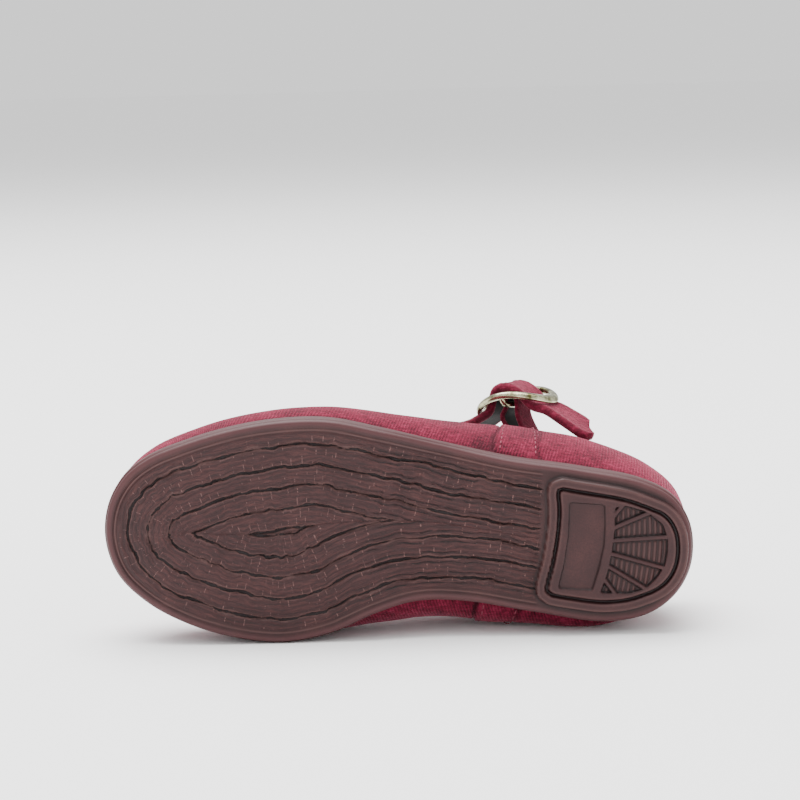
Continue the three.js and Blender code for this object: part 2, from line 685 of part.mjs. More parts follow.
function makeStrap() {
  const stations = STRAP_ANCHOR.map(({ round, up }) => {
    const { at, across } = upperPoint(round, up, bandDepth(STRAP_THICKNESS));
    return { at, side: across };
  });
  for (const row of INSTEP) {
    stations.push({
      at: vec(row.along * SOLE_LENGTH, row.out * BALL_WIDTH, row.up * INSTEP_HEIGHT),
      side: vec(-Math.cos(row.lean), 0, Math.sin(row.lean)),
    });
  }
  const rim = (BUCKLE_LENGTH - BUCKLE_RIM) / 2;
  const onto = (x, z) => stations.push({ at: onBuckle(x, 0, z), side: buckleSide });
  onto(-1.35 * rim, strapUnderRim(rim) - 0.5 * STRAP_THICKNESS);
  for (const share of [1, 0.62]) onto(-share * rim, strapUnderRim(share * rim));
  for (const half of [0.84, 0.67, 0.5, 0.33, 0.16]) {
    const [down, out] = [Math.cos(half * Math.PI), Math.sin(half * Math.PI)];
    onto(HUMP_SPREAD * strapOverBar * down - HUMP_BACK * out, (strapOverBar + HUMP_RISE) * out);
  }
  for (const share of [0.62, 1]) onto(share * rim, strapUnderRim(share * rim));
  for (const { down, fall, wide } of TAIL) {
    const at = onBuckle(rim + down * TAIL_LENGTH, 0, strapUnderRim(rim) - fall * TAIL_LENGTH);
    stations.push({ at, side: buckleSide, wide });
  }
  return band(stations, STRAP_WIDTH, STRAP_THICKNESS, 64);
}

// Tab: up from the outer quarter, round the bar and back down beside itself. Its places near the bar are
// shares of the tab's reach from bar to quarter.
const TAB_REACH = 16;
const TAB_INNER = [
  { down: 0.54, out: -1.3 },
  { down: 0.17, out: -1.0 },
  { down: -0.11, out: -0.6 },
  { down: -0.25, out: -0.26 },
];
const TAB_OUTER = [
  { down: 0.09, out: -0.3 },
  { down: 0.23, out: -0.74 },
  { down: 0.45, out: -1.06 },
  { down: 0.68, out: -1.18 },
];
const TAB_ANCHOR = [
  { round: 0.13, up: 1.0 },
  { round: 0.118, up: 0.82 },
  { round: 0.107, up: 0.64 },
];

function makeTab() {
  const wallStation = ({ round, up }, extra) => {
    const { at, normal } = upperPoint(round, up, bandDepth(TAB_THICKNESS) + extra);
    const side = buckleSide.clone().addScaledVector(normal, -buckleSide.dot(normal));
    return { at, side };
  };
  const local = (x, z) => ({ at: onBuckle(x, 0, z), side: buckleSide });
  const free = ({ down, out }) => local(down * TAB_REACH, out * TAB_REACH);
  const turn = [1.15, 0.85, 0.5, 0.15, -0.15].map(half =>
    local(tabLoop * Math.cos(half * Math.PI), tabLoop * Math.sin(half * Math.PI)));
  const under = TAB_THICKNESS + CLEARANCE;
  const stations = [
    ...[...TAB_ANCHOR].reverse().map(row => wallStation(row, under)),
    ...TAB_INNER.map(free), ...turn, ...TAB_OUTER.map(free),
    ...TAB_ANCHOR.map(row => wallStation(row, 0)),
  ];
  return band(stations, TAB_WIDTH, TAB_THICKNESS, 56);
}

// The prong hooks round the bar, from a place given in half turns, and lies on the rim towards the toe.
function prongPoints(start) {
  const rim = (BUCKLE_LENGTH - BUCKLE_RIM) / 2;
  const hook = [start, 0.05, 0.3, 0.55, 0.8].map(half => onBuckle(
    prongCentre * Math.cos(half * Math.PI), 0, prongCentre * Math.sin(half * Math.PI)));
  const seat = rimHeight(rim) + (BUCKLE_THICKNESS + PRONG_DIAMETER) / 2 + CLEARANCE;
  return [...hook, onBuckle(-0.6 * rim, 0, 0.5 * (seat + prongCentre)), onBuckle(-rim - 0.6, 0, seat)];
}

function makeProng() {
  return roundRod(prongPoints(-0.1), PRONG_DIAMETER / 2, ROD_SIDES);
}

// Hole of a piece that the prong passes through
function pierced(geometry) {
  const hole = roundRod(prongPoints(-0.45), PRONG_DIAMETER / 2 + 1.5 * CLEARANCE, ROD_SIDES);
  return toGeometry(toManifold(geometry).subtract(toManifold(hole)));
}

// Finishes
const velvet = { color: 0x8c2344, roughness: 0.95, metalness: 0 };
const FINISHES = {
  outsole: { color: 0x5c4444, roughness: 0.6, metalness: 0 },
  insole: { color: 0xb79a7a, roughness: 0.8, metalness: 0 },
  upper: velvet,
  topline_binding: velvet,
  strap: velvet,
  buckle_tab: velvet,
  buckle_frame: { color: 0xb8ae84, roughness: 0.35, metalness: 1 },
  buckle_prong: { color: 0xb8ae84, roughness: 0.35, metalness: 1 },
};

const pieces = {
  outsole: makeOutsole(),
  insole: makeInsole(),
  upper: makeUpper(),
  topline_binding: makeBinding(),
  strap: pierced(makeStrap()),
  buckle_tab: pierced(makeTab()),
  buckle_frame: makeBuckleFrame(),
  buckle_prong: makeProng(),
};

const shoe = new THREE.Group();
for (const [name, geometry] of Object.entries(pieces)) {
  const mesh = new THREE.Mesh(geometry, new THREE.MeshStandardMaterial(FINISHES[name]));
  mesh.name = name;
  shoe.add(mesh);
}

// Rest. The shoe is turned onto its inner side, and then onto the face of its hull that its weight presses.
function centreOfMass(meshes) {
  const centre = vec(0, 0, 0);
  const [a, b, c] = [vec(0, 0, 0), vec(0, 0, 0), vec(0, 0, 0)];
  let total = 0;
  for (const mesh of meshes) {
    const geometry = mesh.geometry;
    const p = geometry.getAttribute("position");
    const count = geometry.index ? geometry.index.count : p.count;
    const pick = i => geometry.index ? geometry.index.getX(i) : i;
    for (let i = 0; i < count; i += 3) {
      a.fromBufferAttribute(p, pick(i));
      b.fromBufferAttribute(p, pick(i + 1));
      c.fromBufferAttribute(p, pick(i + 2));
      const volume = a.dot(b.clone().cross(c)) / 6;
      centre.addScaledVector(a.clone().add(b).add(c), volume / 4);
      total += volume;
    }
  }
  return centre.divideScalar(total);
}

const UPRIGHT_LIMIT = 0.8;

function restingFace(meshes, downward) {
  const points = meshes.flatMap(mesh => {
    const p = mesh.geometry.getAttribute("position");
    return Array.from({ length: p.count }, (_, i) => vec(0, 0, 0).fromBufferAttribute(p, i));
  });
  const centre = centreOfMass(meshes);
  let best = null;
  for (const face of new ConvexHull().setFromPoints(points).faces) {
    const upright = face.normal.dot(downward);
    if (upright < UPRIGHT_LIMIT) continue;
    const corners = [face.getEdge(0), face.getEdge(1), face.getEdge(2)].map(edgeOf => edgeOf.head().point);
    const foot = centre.clone().addScaledVector(face.normal, -face.distanceToPoint(centre));
    const inside = Math.min(...corners.map((corner, i) => {
      const next = corners[(i + 1) % 3];
      return face.normal.dot(next.clone().sub(corner).normalize().cross(foot.clone().sub(corner)));
    }));
    if (inside > 0 && (!best || upright > best.upright)) best = { normal: face.normal.clone(), upright };
  }
  return best;
}

const lying = new THREE.Matrix4().makeBasis(vec(-1, 0, 0), vec(0, 0, 1), vec(0, 1, 0));
const rest = restingFace(shoe.children, vec(0, -1, 0));
const pressed = rest.normal.clone().transformDirection(lying);
const settle = new THREE.Matrix4().makeRotationFromQuaternion(
  new THREE.Quaternion().setFromUnitVectors(pressed, vec(0, 0, -1)));
shoe.applyMatrix4(settle.multiply(lying));
shoe.updateMatrixWorld(true);

const box = new THREE.Box3().setFromObject(shoe, true);
shoe.position.x -= (box.min.x + box.max.x) / 2;
shoe.position.y -= (box.min.y + box.max.y) / 2;
shoe.position.z -= box.min.z;
shoe.updateMatrixWorld(true);

export default shoe;
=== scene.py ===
import math

import bmesh
import bpy
import numpy as np
from mathutils import Matrix, Vector


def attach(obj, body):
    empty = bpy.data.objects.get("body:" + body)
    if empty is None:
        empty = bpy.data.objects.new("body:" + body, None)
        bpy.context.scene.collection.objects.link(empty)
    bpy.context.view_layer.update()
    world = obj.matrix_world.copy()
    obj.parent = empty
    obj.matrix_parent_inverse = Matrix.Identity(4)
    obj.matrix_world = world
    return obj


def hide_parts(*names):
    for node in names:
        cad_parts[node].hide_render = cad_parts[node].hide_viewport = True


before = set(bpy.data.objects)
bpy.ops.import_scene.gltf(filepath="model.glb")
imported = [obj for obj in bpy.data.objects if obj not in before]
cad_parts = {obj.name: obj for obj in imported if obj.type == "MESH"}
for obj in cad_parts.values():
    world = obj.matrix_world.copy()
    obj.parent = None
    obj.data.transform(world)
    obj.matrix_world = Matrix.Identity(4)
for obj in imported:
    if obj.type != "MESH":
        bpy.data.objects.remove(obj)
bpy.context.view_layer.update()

shoe = {
    "length": 172.0, "ball": 64.7, "waist": 42.2, "heel": 44.2,
    "collar": 50.0, "instep": 62.0, "soleThick": 8.2, "heelRise": 2.8, "toeSpring": 6.5, "archRise": 1.2,
    "upperWall": 2.0, "clearance": 0.3,
}
layDown = np.array([
    [-0.9976009, 0.0692259, 0.0003609, 85.9803745],
    [-0.0003609, -0.0104144, 0.9999457, -33.0707376],
    [0.0692259, 0.9975467, 0.0104144, 25.2444058],
])

# ---- curves and meshes


def cubic(a, b, goA, goB, t):
    return a + t * (goA + t * (3 * (b - a) - 2 * goA - goB + t * (2 * (a - b) + goA + goB)))


def turns(count):
    return np.linspace(0, 2 * np.pi, count, endpoint=False)


def catmullRom(points, closed=False, centripetal=True):
    pts = np.array(points, float)
    count = len(pts)

    def pick(i):
        if closed:
            return pts[i % count]
        found = pts[np.clip(i, 0, count - 1)].copy()
        found[i < 0] = 2 * pts[0] - pts[1]
        found[i > count - 1] = 2 * pts[-1] - pts[-2]
        return found

    def place(t):
        whole = (count if closed else count - 1) * np.atleast_1d(np.asarray(t, float))
        k = np.floor(whole).astype(int)
        w = whole - k
        if not closed:
            w = np.where(k >= count - 1, 1.0, w)
            k = np.minimum(k, count - 2)
        a, b, c, d = pick(k - 1), pick(k), pick(k + 1), pick(k + 2)
        if centripetal:
            r, s, q = (np.sqrt(np.linalg.norm(v - u, axis=1))[:, None] for u, v in ((a, b), (b, c), (c, d)))
            s = np.where(s < 1e-4, 1, s)
            r, q = np.where(r < 1e-4, s, r), np.where(q < 1e-4, s, q)
            m = ((b - a) / r - (c - a) / (r + s) + (c - b) / s) * s
            n = ((c - b) / s - (d - b) / (s + q) + (d - c) / q) * s
        else:
            m, n = (c - a) / 2, (d - b) / 2
        return cubic(b, c, m, n, w[:, None])

    return place


def unit(v):
    return v / np.maximum(np.linalg.norm(v, axis=-1, keepdims=True), 1e-12)


def tangentOf(place, t, closed=False):
    step = 1e-4
    t = np.atleast_1d(np.asarray(t, float))
    low, high = t - step, t + step
    if not closed:
        low, high = np.clip(low, 0, 1), np.clip(high, 0, 1)
    return unit(place(high) - place(low))


def evenShare(place, closed=False):
    # Turns a share of the curve's length into its own parameter
    t = np.linspace(0, 1, 6001)
    pts = place(t if not closed else np.append(t[:-1], 0.0))
    run = np.concatenate([[0], np.cumsum(np.linalg.norm(np.diff(pts, axis=0), axis=1))])
    return lambda share: np.interp(np.atleast_1d(share), run / run[-1], t), run[-1]


def smooth(low, high, x):
    t = np.clip((x - low) / (high - low), 0, 1)
    return t * t * (3 - 2 * t)


def roughness(x, y, cell, seed):
    # Smooth random values from -1 to 1 over the plane, the same each run
    values = np.random.default_rng(seed).uniform(-1, 1, (128, 128))
    a, b = np.asarray(x, float) / cell, np.asarray(y, float) / cell
    i, j = np.floor(a).astype(int), np.floor(b).astype(int)
    u, v = a - i, b - j
    u, v = u * u * (3 - 2 * u), v * v * (3 - 2 * v)

    def corner(right, up):
        return values[(i + right) % 128, (j + up) % 128]

    low = corner(0, 0) * (1 - u) + corner(1, 0) * u
    high = corner(0, 1) * (1 - u) + corner(1, 1) * u
    return low * (1 - v) + high * v


def softLine(gap, width):
    return np.exp(-(gap / width) ** 2)


def gridFaces(rows, columns, closeRows=False, closeColumns=True):
    r = np.arange(rows if closeRows else rows - 1)[:, None]
    c = np.arange(columns if closeColumns else columns - 1)
    after = (c + 1) % columns
    up = ((r + 1) % rows) * columns
    return np.stack([(r * columns + c).ravel(), (r * columns + after).ravel(),
                     (up + after).ravel(), (up + c).ravel()], 1)


def ladderFaces(count):
    # Closes a ring of points by rungs from one side to the other
    i = np.arange(count // 2)
    return np.stack([i, i + 1, (count - i - 1) % count, (count - i) % count], 1)


def withoutRepeats(faces):
    # Where two corners of a face are one point, one of them goes
    return [[k for n, k in enumerate(f) if k != f[n - 1]] for f in faces.tolist()]


def laidDown(points):
    # Standing millimetres to metres in the row frame
    return (np.asarray(points, float) @ layDown[:, :3].T + layDown[:, 3]) / 1000


def addObject(name, data):
    holder = bpy.data.objects.new(name, data)
    bpy.context.scene.collection.objects.link(holder)
    return holder


def cappedFaces(steps, sides):
    ends = [list(range(sides)), list(range((steps - 1) * sides, steps * sides))]
    return gridFaces(steps, sides).tolist() + ends


def makePiece(name, points, faces, materials, nodes=(), pick=None, marks=None, merge=1e-6):
    # points are standing millimetres, pick is a material number per face, marks are values per point
    mesh = bpy.data.meshes.new(name)
    mesh.from_pydata(laidDown(points).tolist(), [], [list(map(int, f)) for f in faces])
    for material in materials:
        mesh.materials.append(material)
    if pick is not None:
        mesh.polygons.foreach_set("material_index", np.asarray(pick, np.int32))
    for label, values in (marks or {}).items():
        mark = mesh.attributes.new(label, "FLOAT", "POINT")
        mark.data.foreach_set("value", np.asarray(values, np.float32))
    work = bmesh.new()
    work.from_mesh(mesh)
    bmesh.ops.remove_doubles(work, verts=work.verts, dist=merge)
    bmesh.ops.recalc_face_normals(work, faces=work.faces)
    if work.calc_volume(signed=True) < 0:
        bmesh.ops.reverse_faces(work, faces=work.faces)
    for face in work.faces:
        face.smooth = True
    work.to_mesh(mesh)
    work.free()
    piece = addObject(name, mesh)
    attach(piece, "root")
    if nodes:
        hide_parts(*nodes)


# ---- the sole's outline and heights

# along of the sole's length, and out of the width that is named
outlineTable = [
    ("heel", [(0.003, 0.0), (0.012, 0.164), (0.039, 0.31), (0.092, 0.407), (0.2, 0.472)]),
    ("waist", [(0.32, 0.543)]),
    ("ball", [(0.439, 0.409), (0.539, 0.463), (0.63, 0.499), (0.714, 0.484), (0.793, 0.438), (0.868, 0.366),
              (0.931, 0.284), (0.97, 0.19), (0.994, 0.055), (0.996, -0.095), (0.973, -0.242), (0.922, -0.355),
              (0.853, -0.436), (0.771, -0.487), (0.689, -0.499), (0.609, -0.445), (0.537, -0.349)]),
    ("waist", [(0.469, -0.444), (0.379, -0.43)]),
    ("heel", [(0.263, -0.461), (0.14, -0.507), (0.07, -0.445), (0.03, -0.325), (0.008, -0.168)]),
]
outline = catmullRom([(a * shoe["length"], o * shoe[width], 0)
                      for width, places in outlineTable for a, o in places], closed=True)
outlineShare, outlineLength = evenShare(outline, closed=True)


def edgeAt(rounds):
    t = outlineShare(np.atleast_1d(rounds) % 1)
    way = tangentOf(outline, t, closed=True)
    return outline(t), np.stack([-way[:, 1], way[:, 0], np.zeros(len(way))], 1)


def springHeight(x):
    start = 0.76 * shoe["length"]
    return shoe["toeSpring"] * np.clip((x - start) / (shoe["length"] - start), 0, None) ** 2


def treadHeight(x):
    waistFrom, waistMid, ballFrom = (s * shoe["length"] for s in (0.3, 0.42, 0.56))
    fall = 1 - smooth(waistMid, ballFrom, x)
    arch = shoe["archRise"] * smooth(waistFrom, waistMid, x)
    return (heelBlock["height"] + arch) * fall + springHeight(x)


def seatHeight(x):
    fall = 1 - smooth(0.3 * shoe["length"], 0.56 * shoe["length"], x)
    return shoe["soleThick"] + shoe["heelRise"] * fall + springHeight(x)


heelBlock = {
    "length": 43.0, "height": 2.2, "inset": 2.2, "backInset": 0.4, "border": 3.2, "groove": 1.05,
    "grooveDeep": 1.5, "relief": 1.3, "panelDeep": 0.95, "spoke": 1.25, "outer": 0.122, "inner": 0.885,
    "ridge": 1.55, "ridgeHigh": 0.45, "bow": 0.006,
    "front": [(0.94, 0.425), (0.988, 0.397), (1.004, 0.335), (0.991, 0.22), (0.991, 0.1), (1.001, -0.02),
              (1.018, -0.14), (1.04, -0.24), (1.049, -0.31), (1.03, -0.375), (0.965, -0.42)],
    "panel": [(0.855, 0.277), (0.609, 0.27), (0.598, 0.14), (0.599, 0.0), (0.62, -0.135), (0.664, -0.31),
              (0.9, -0.306), (0.868, -0.14), (0.849, 0.044), (0.85, 0.19)],
    "fan": [(0.54, 0.255), (0.481, 0.271), (0.325, 0.236), (0.209, 0.156), (0.17, 0.059), (0.166, -0.025),
            (0.179, -0.119), (0.228, -0.204), (0.302, -0.283), (0.412, -0.321), (0.61, -0.325),
            (0.568, -0.19), (0.545, -0.05), (0.533, 0.12)],
    "spokes": [((0.55, 0.19), (0.465, 0.3)), ((0.55, 0.112), (0.29, 0.235)), ((0.55, 0.03), (0.14, 0.075)),
               ((0.56, -0.055), (0.15, -0.147)), ((0.57, -0.14), (0.27, -0.3)),
               ((0.6, -0.215), (0.48, -0.36))],
}


def distanceToLine(points, line, closed=True):
    # Distance of flat points to a line of points, whether they are inside it, and their share of the way
    a = np.asarray(line, float)[:, :2]
    b = np.roll(a, -1, axis=0) if closed else a[1:]
    a = a if closed else a[:-1]
    span = b - a
    long2 = (span ** 2).sum(1)
    least = np.empty(len(points))
    nearest = np.empty(len(points))
    inside = np.zeros(len(points), bool)
    for start in range(0, len(points), 4000):
        p = points[start:start + 4000, None, :2]
        share = np.clip(((p - a) * span).sum(2) / long2, 0, 1)
        gap = (((a + share[..., None] * span) - p) ** 2).sum(2)
        k = gap.argmin(1)
        least[start:start + 4000] = np.sqrt(gap.min(1))
        nearest[start:start + 4000] = (k + share[np.arange(len(k)), k]) / len(a)
        if closed:
            crosses = (a[:, 1] > p[..., 1]) != (b[:, 1] > p[..., 1])
            rise = np.where(np.abs(span[:, 1]) < 1e-9, 1e-9, span[:, 1])
            at = a[:, 0] + (p[..., 1] - a[:, 1]) * span[:, 0] / rise
            inside[start:start + 4000] = (crosses & (p[..., 0] < at)).sum(1) % 2 == 1
    return least, inside, nearest


def signedInside(points, line):
    least, inside, _ = distanceToLine(points, line)
    return np.where(inside, least, -least)


def onHeel(points):
    return np.array([(a * heelBlock["length"], o * shoe["heel"], 0) for a, o in points])


def blockOutline():
    block = heelBlock
    span = block["outer"] + 1 - block["inner"]
    at, out = edgeAt(block["inner"] + span * np.linspace(0, 1, 27))
    back = smooth(0, 0.3 * block["length"], at[:, 0])[:, None]
    at = at - out * (block["backInset"] + (block["inset"] - block["backInset"]) * back)
    front = catmullRom(onHeel(block["front"]))
    ring = catmullRom(np.concatenate([at, front(np.linspace(0, 1, 23))]), closed=True)
    share, _ = evenShare(ring, closed=True)
    return ring(share(np.arange(320) / 320))


def roundedLine(corners, radius=1.0, steps=5):
    # A closed line through corners, each cut by a small curve
    pts = onHeel(corners)[:, :2]
    line = []
    for i, p in enumerate(pts):
        before, after = pts[i - 1] - p, pts[(i + 1) % len(pts)] - p
        near = min(radius, 0.4 * np.linalg.norm(before), 0.4 * np.linalg.norm(after))
        a, b = p + unit(before) * near, p + unit(after) * near
        for t in np.linspace(0, 1, steps):
            line.append((1 - t) ** 2 * a + 2 * t * (1 - t) * p + t * t * b)
    return np.array(line)


outsole = {
    "pitch": 6.1, "groove": 0.8, "grooveDeep": 0.6, "jog": 0.2, "sway": 0.5, "fineSway": 0.3, "crown": 0.3,
    "uneven": 0.12, "rimLines": (1.5, 2.4), "rimLineDeep": 0.34, "rimHighlight": 2.0, "seatInset": 2.9,
    # rows of points round the heel, which ends at this share of the way round, and round the rest
    "heelTo": 0.13, "heelRows": 205, "restRows": 285, "across": 158,
    # side wall: how far out, and how high between tread and seat
    "wall": [(0.0, 0.0), (0.35, 0.02), (0.62, 0.06), (0.72, 0.1), (0.72, 0.2), (0.95, 0.22), (1.2, 0.26),
             (1.3, 0.3), (1.3, 0.68), (1.2, 0.73), (0.8, 0.77), (0.7, 0.8), (0.7, 0.94), (0.55, 0.985),
             (0.2, 1.0)],
}


# ---- materials


def newMaterial(name):
    material = bpy.data.materials.new(name)
    material.use_nodes = True
    tree = material.node_tree
    return material, tree, tree.nodes["Principled BSDF"]


def setInputs(tree, node, values):
    for key, value in values.items():
        if isinstance(value, bpy.types.NodeSocket):
            tree.links.new(value, node.inputs[key])
        else:
            node.inputs[key].default_value = value


def addNode(tree, kind, values=None, **settings):
    node = tree.nodes.new(kind)
    for key, value in settings.items():
        setattr(node, key, value)
    setInputs(tree, node, values or {})
    return node


def addMath(tree, operation, a, b=0.0, c=0.0):
    return addNode(tree, "ShaderNodeMath", {0: a, 1: b, 2: c}, operation=operation).outputs[0]


def plus(tree, a, b):
    return addMath(tree, "ADD", a, b)


def times(tree, a, b):
    return addMath(tree, "MULTIPLY", a, b)


def timesPlus(tree, a, b, c):
    return addMath(tree, "MULTIPLY_ADD", a, b, c)


def larger(tree, a, b):
    return addMath(tree, "MAXIMUM", a, b)


def waves(tree, value, pitch):
    return addMath(tree, "SINE", times(tree, value, 2 * math.pi / pitch))


def linear(colour, shade=1.0):
    # A colour as seen on a screen, 0 to 255, as the shader wants it
    shares = (v / 255 / 12.92 if v <= 10 else ((v / 255 + 0.055) / 1.055) ** 2.4 for v in colour)
    return (*(shade * v for v in shares), 1)


def addRamp(tree, factor, look, stops, shade=1.0):
    # stops are (place, name of a colour of the look)
    node = addNode(tree, "ShaderNodeValToRGB", {0: factor})
    ramp = node.color_ramp
    stops = [(place, linear(look[name], shade)) for place, name in stops]
    for element, stop in zip(ramp.elements, (stops[0], stops[-1])):
        element.position, element.color = stop
    for place, colour in stops[1:-1]:
        ramp.elements.new(place).color = colour
    return node.outputs["Color"]


def mixColour(tree, factor, a, b):
    return addNode(tree, "ShaderNodeMix", {0: factor, 6: a, 7: b}, data_type="RGBA").outputs[2]


def attribute(tree, name):
    return addNode(tree, "ShaderNodeAttribute", attribute_name=name).outputs["Fac"]


def objectNoise(tree, scale, detail=2.0, rough=0.5, stretch=(1, 1, 1)):
    where = addNode(tree, "ShaderNodeTexCoord").outputs["Object"]
    turned = addNode(tree, "ShaderNodeMapping", {"Vector": where, "Scale": stretch}).outputs["Vector"]
    return addNode(tree, "ShaderNodeTexNoise", {
        "Vector": turned, "Scale": scale, "Detail": detail, "Roughness": rough}).outputs[0]


def distanceToEvery(tree, value, pitch):
    return addMath(tree, "PINGPONG", value, pitch / 2)


def fade(tree, value, low, high, start=1.0, stop=0.0):
    return addNode(tree, "ShaderNodeMapRange", {
        "Value": value, "From Min": low, "From Max": high, "To Min": start, "To Max": stop},
        interpolation_type="SMOOTHSTEP").outputs["Result"]


def dress(tree, shader, colour, height, strength, metres, others):
    # Joins a colour and a bump of so many metres to the shader, and sets its other inputs
    bump = addNode(tree, "ShaderNodeBump", {"Strength": strength, "Distance": metres, "Height": height})
    setInputs(tree, shader, {"Base Color": colour, "Normal": bump.outputs[0], **others})


velvetLook = {
    "dark": (54, 7, 20), "mid": (104, 20, 43), "light": (150, 50, 78), "pitch": 0.95, "sheen": 0.42,
    "sheenTint": (255, 150, 172), "rough": 0.88, "ribDeep": 0.0003, "ribSway": 3.4,
    # noises: scale, detail, roughness
    "sway": (420.0, 2.0), "pile": (2400.0, 3.0, 0.75), "speckle": (1100.0, 2.0, 0.5, (0.5, 1, 1)),
    "brushed": (75.0, 4.0, 0.62), "broken": (260.0, 3.0, 0.6),
}


def velvetMaterial(name, ribbed=1.0, shade=1.0):
    look = velvetLook
    material, tree, shader = newMaterial(name)
    turn = times(tree, attribute(tree, "wale"), 2 * math.pi / look["pitch"])
    lines = addMath(tree, "SINE", timesPlus(tree, objectNoise(tree, *look["sway"]), look["ribSway"], turn))
    pile, speckle, brushed = (objectNoise(tree, *look[k]) for k in ("pile", "speckle", "brushed"))
    broken = fade(tree, objectNoise(tree, *look["broken"]), 0.3, 0.6, 0.25, 1.0)
    wales = times(tree, times(tree, lines, broken), ribbed)
    height = timesPlus(tree, wales, 0.5, timesPlus(tree, speckle, 0.9, pile))
    # the velvet is darker where crushAndShade is set: pressed pile and painted shade
    tone = timesPlus(tree, attribute(tree, "crushAndShade"), -0.45, -0.5)
    for part, share in ((brushed, 0.55), (speckle, 0.75), (pile, 0.65), (wales, 0.11)):
        tone = timesPlus(tree, part, share, tone)
    colour = addRamp(tree, tone, look, [(0.2, "dark"), (0.5, "mid"), (0.85, "light")], shade)
    dress(tree, shader, colour, height, 0.75, look["ribDeep"], {
        "Roughness": look["rough"], "Specular IOR Level": 0.15, "Sheen Weight": look["sheen"],
        "Sheen Roughness": 0.4, "Sheen Tint": linear(look["sheenTint"])})
    return material


rubberLook = {
    "grooveShade": (17, 6, 7), "dark": (31, 12, 13), "mid": (48, 22, 23), "light": (73, 40, 38),
    "tick": (112, 80, 76), "wall": (80, 46, 48), "rough": 0.5, "splitWide": 0.44, "tickPitch": 3.4,
    "grain": (1800.0, 4.0, 0.65), "blotch": (90.0, 3.0, 0.6),
    # noises drawn out along the bands: scale along and across, detail, seed
    "parting": (0.16, 0.35, 2.0, 3.0), "ragged": (0.9, 2.0, 2.0, 9.0), "opened": (0.22, 0.9, 2.0, 21.0),
    "sway": (0.12, 0.3, 2.0, 5.0), "fine": (0.22, 4.2, 3.0, 14.0), "bend": (0.05, 0.0, 1.0, 7.0),
    "tickFields": (0.12, 0.4, 2.0, 30.0), "tickGaps": (1.5, 2.4, 1.0, 12.0),
}


def rubberMaterial():
    look = rubberLook
    pitch = outsole["pitch"]
    material, tree, shader = newMaterial("sole_rubber")
    deep, inset, run, tread, waist, wall, ridge = (
        attribute(tree, name) for name in ("deep", "inset", "run", "tread", "waist", "wall", "ridge"))

    def streaks(name):
        alongRun, acrossRun, detail, seed = look[name]
        where = addNode(tree, "ShaderNodeCombineXYZ", {
            0: times(tree, run, alongRun), 1: times(tree, inset, acrossRun), 2: seed}).outputs[0]
        return addNode(tree, "ShaderNodeTexNoise", {
            "Vector": where, "Scale": 1.0, "Detail": detail, "Roughness": 0.6}).outputs[0]

    # long splits between the bands, opening and closing along their run, painted near black as the shade
    # inside them
    ragged = timesPlus(tree, streaks("ragged"), 0.7, -0.35)
    toBand = plus(tree, distanceToEvery(tree, inset, pitch), ragged)
    splitWidth = fade(tree, streaks("parting"), 0.36, 0.64, 0.0, look["splitWide"])
    pastSplit = addMath(tree, "SUBTRACT", toBand, splitWidth)
    split = fade(tree, pastSplit, -0.1, 0.16)
    toHalf = plus(tree, distanceToEvery(tree, plus(tree, inset, pitch / 4), pitch / 2), ragged)
    opened = fade(tree, streaks("opened"), 0.4, 0.52, 0.0, 1.0)
    opened = times(tree, timesPlus(tree, waist, 0.85, 0.12), opened)
    fissure = times(tree, fade(tree, toHalf, 0.0, 0.34), opened)
    # dark is painted shade in the splits; with the deep mark it takes the grooveShade colour
    dark = times(tree, larger(tree, split, fissure), tread)
    # a painted highlight on the lip along each split
    lipHighlight = times(tree, fade(tree, pastSplit, 0.25, 0.7), addMath(tree, "SUBTRACT", 1.0, split))

    # striations along each band, and short light ticks across it
    lines = waves(tree, timesPlus(tree, streaks("sway"), 2.6, inset), pitch / 4)
    row = addMath(tree, "FLOOR", addMath(tree, "DIVIDE", inset, pitch / 2))
    shift = addNode(tree, "ShaderNodeTexWhiteNoise", {"W": row}, noise_dimensions="1D").outputs["Value"]
    bent = timesPlus(tree, streaks("bend"), 8.0, run)
    toTick = distanceToEvery(tree, timesPlus(tree, shift, 11.0, bent), look["tickPitch"])
    broken = times(tree, fade(tree, streaks("tickFields"), 0.5, 0.6, 0.0, 1.0),
                   fade(tree, streaks("tickGaps"), 0.38, 0.54, 0.0, 1.0))
    tick = times(tree, fade(tree, toTick, 0.05, 0.22), broken)
    # the light colour goes on the ticks and on the painted highlight of each lip
    light = times(tree, tread, larger(tree, times(tree, tick, 0.8), times(tree, lipHighlight, 0.3)))

    grain, blotch = (objectNoise(tree, *look[k]) for k in ("grain", "blotch"))
    banded = times(tree, tread, timesPlus(tree, lines, 0.07, timesPlus(tree, streaks("fine"), 0.85, -0.42)))
    tone = plus(tree, banded, timesPlus(tree, blotch, 0.34, timesPlus(tree, grain, 0.3, 0.14)))
    face = addRamp(tree, tone, look, [(0.24, "dark"), (0.46, "mid"), (0.72, "light")])
    # painted shade in a soft band each side of the grooves, so the bands look rounded
    valleyShade = times(tree, tread, fade(tree, toBand, 0.2, 1.7, 0.5, 0.0))
    # the wall colour is painted light: the side wall and the tread's rim are made lighter, as light from
    # above falls on them
    for factor, name in (
            (times(tree, wall, 0.6), "wall"), (valleyShade, "dark"),
            (larger(tree, light, times(tree, ridge, 0.5)), "tick"), (larger(tree, deep, dark), "grooveShade")):
        face = mixColour(tree, factor, face, linear(look[name]))
    height = timesPlus(tree, grain, 0.25, times(tree, times(tree, tick, tread), 0.4))
    height = plus(tree, times(tree, banded, 1.6), timesPlus(tree, dark, -1.6, height))
    rough = timesPlus(tree, grain, 0.2, look["rough"] - 0.1)
    dress(tree, shader, face, height, 0.7, 0.0003, {"Roughness": rough, "Specular IOR Level": 0.28})
    return material


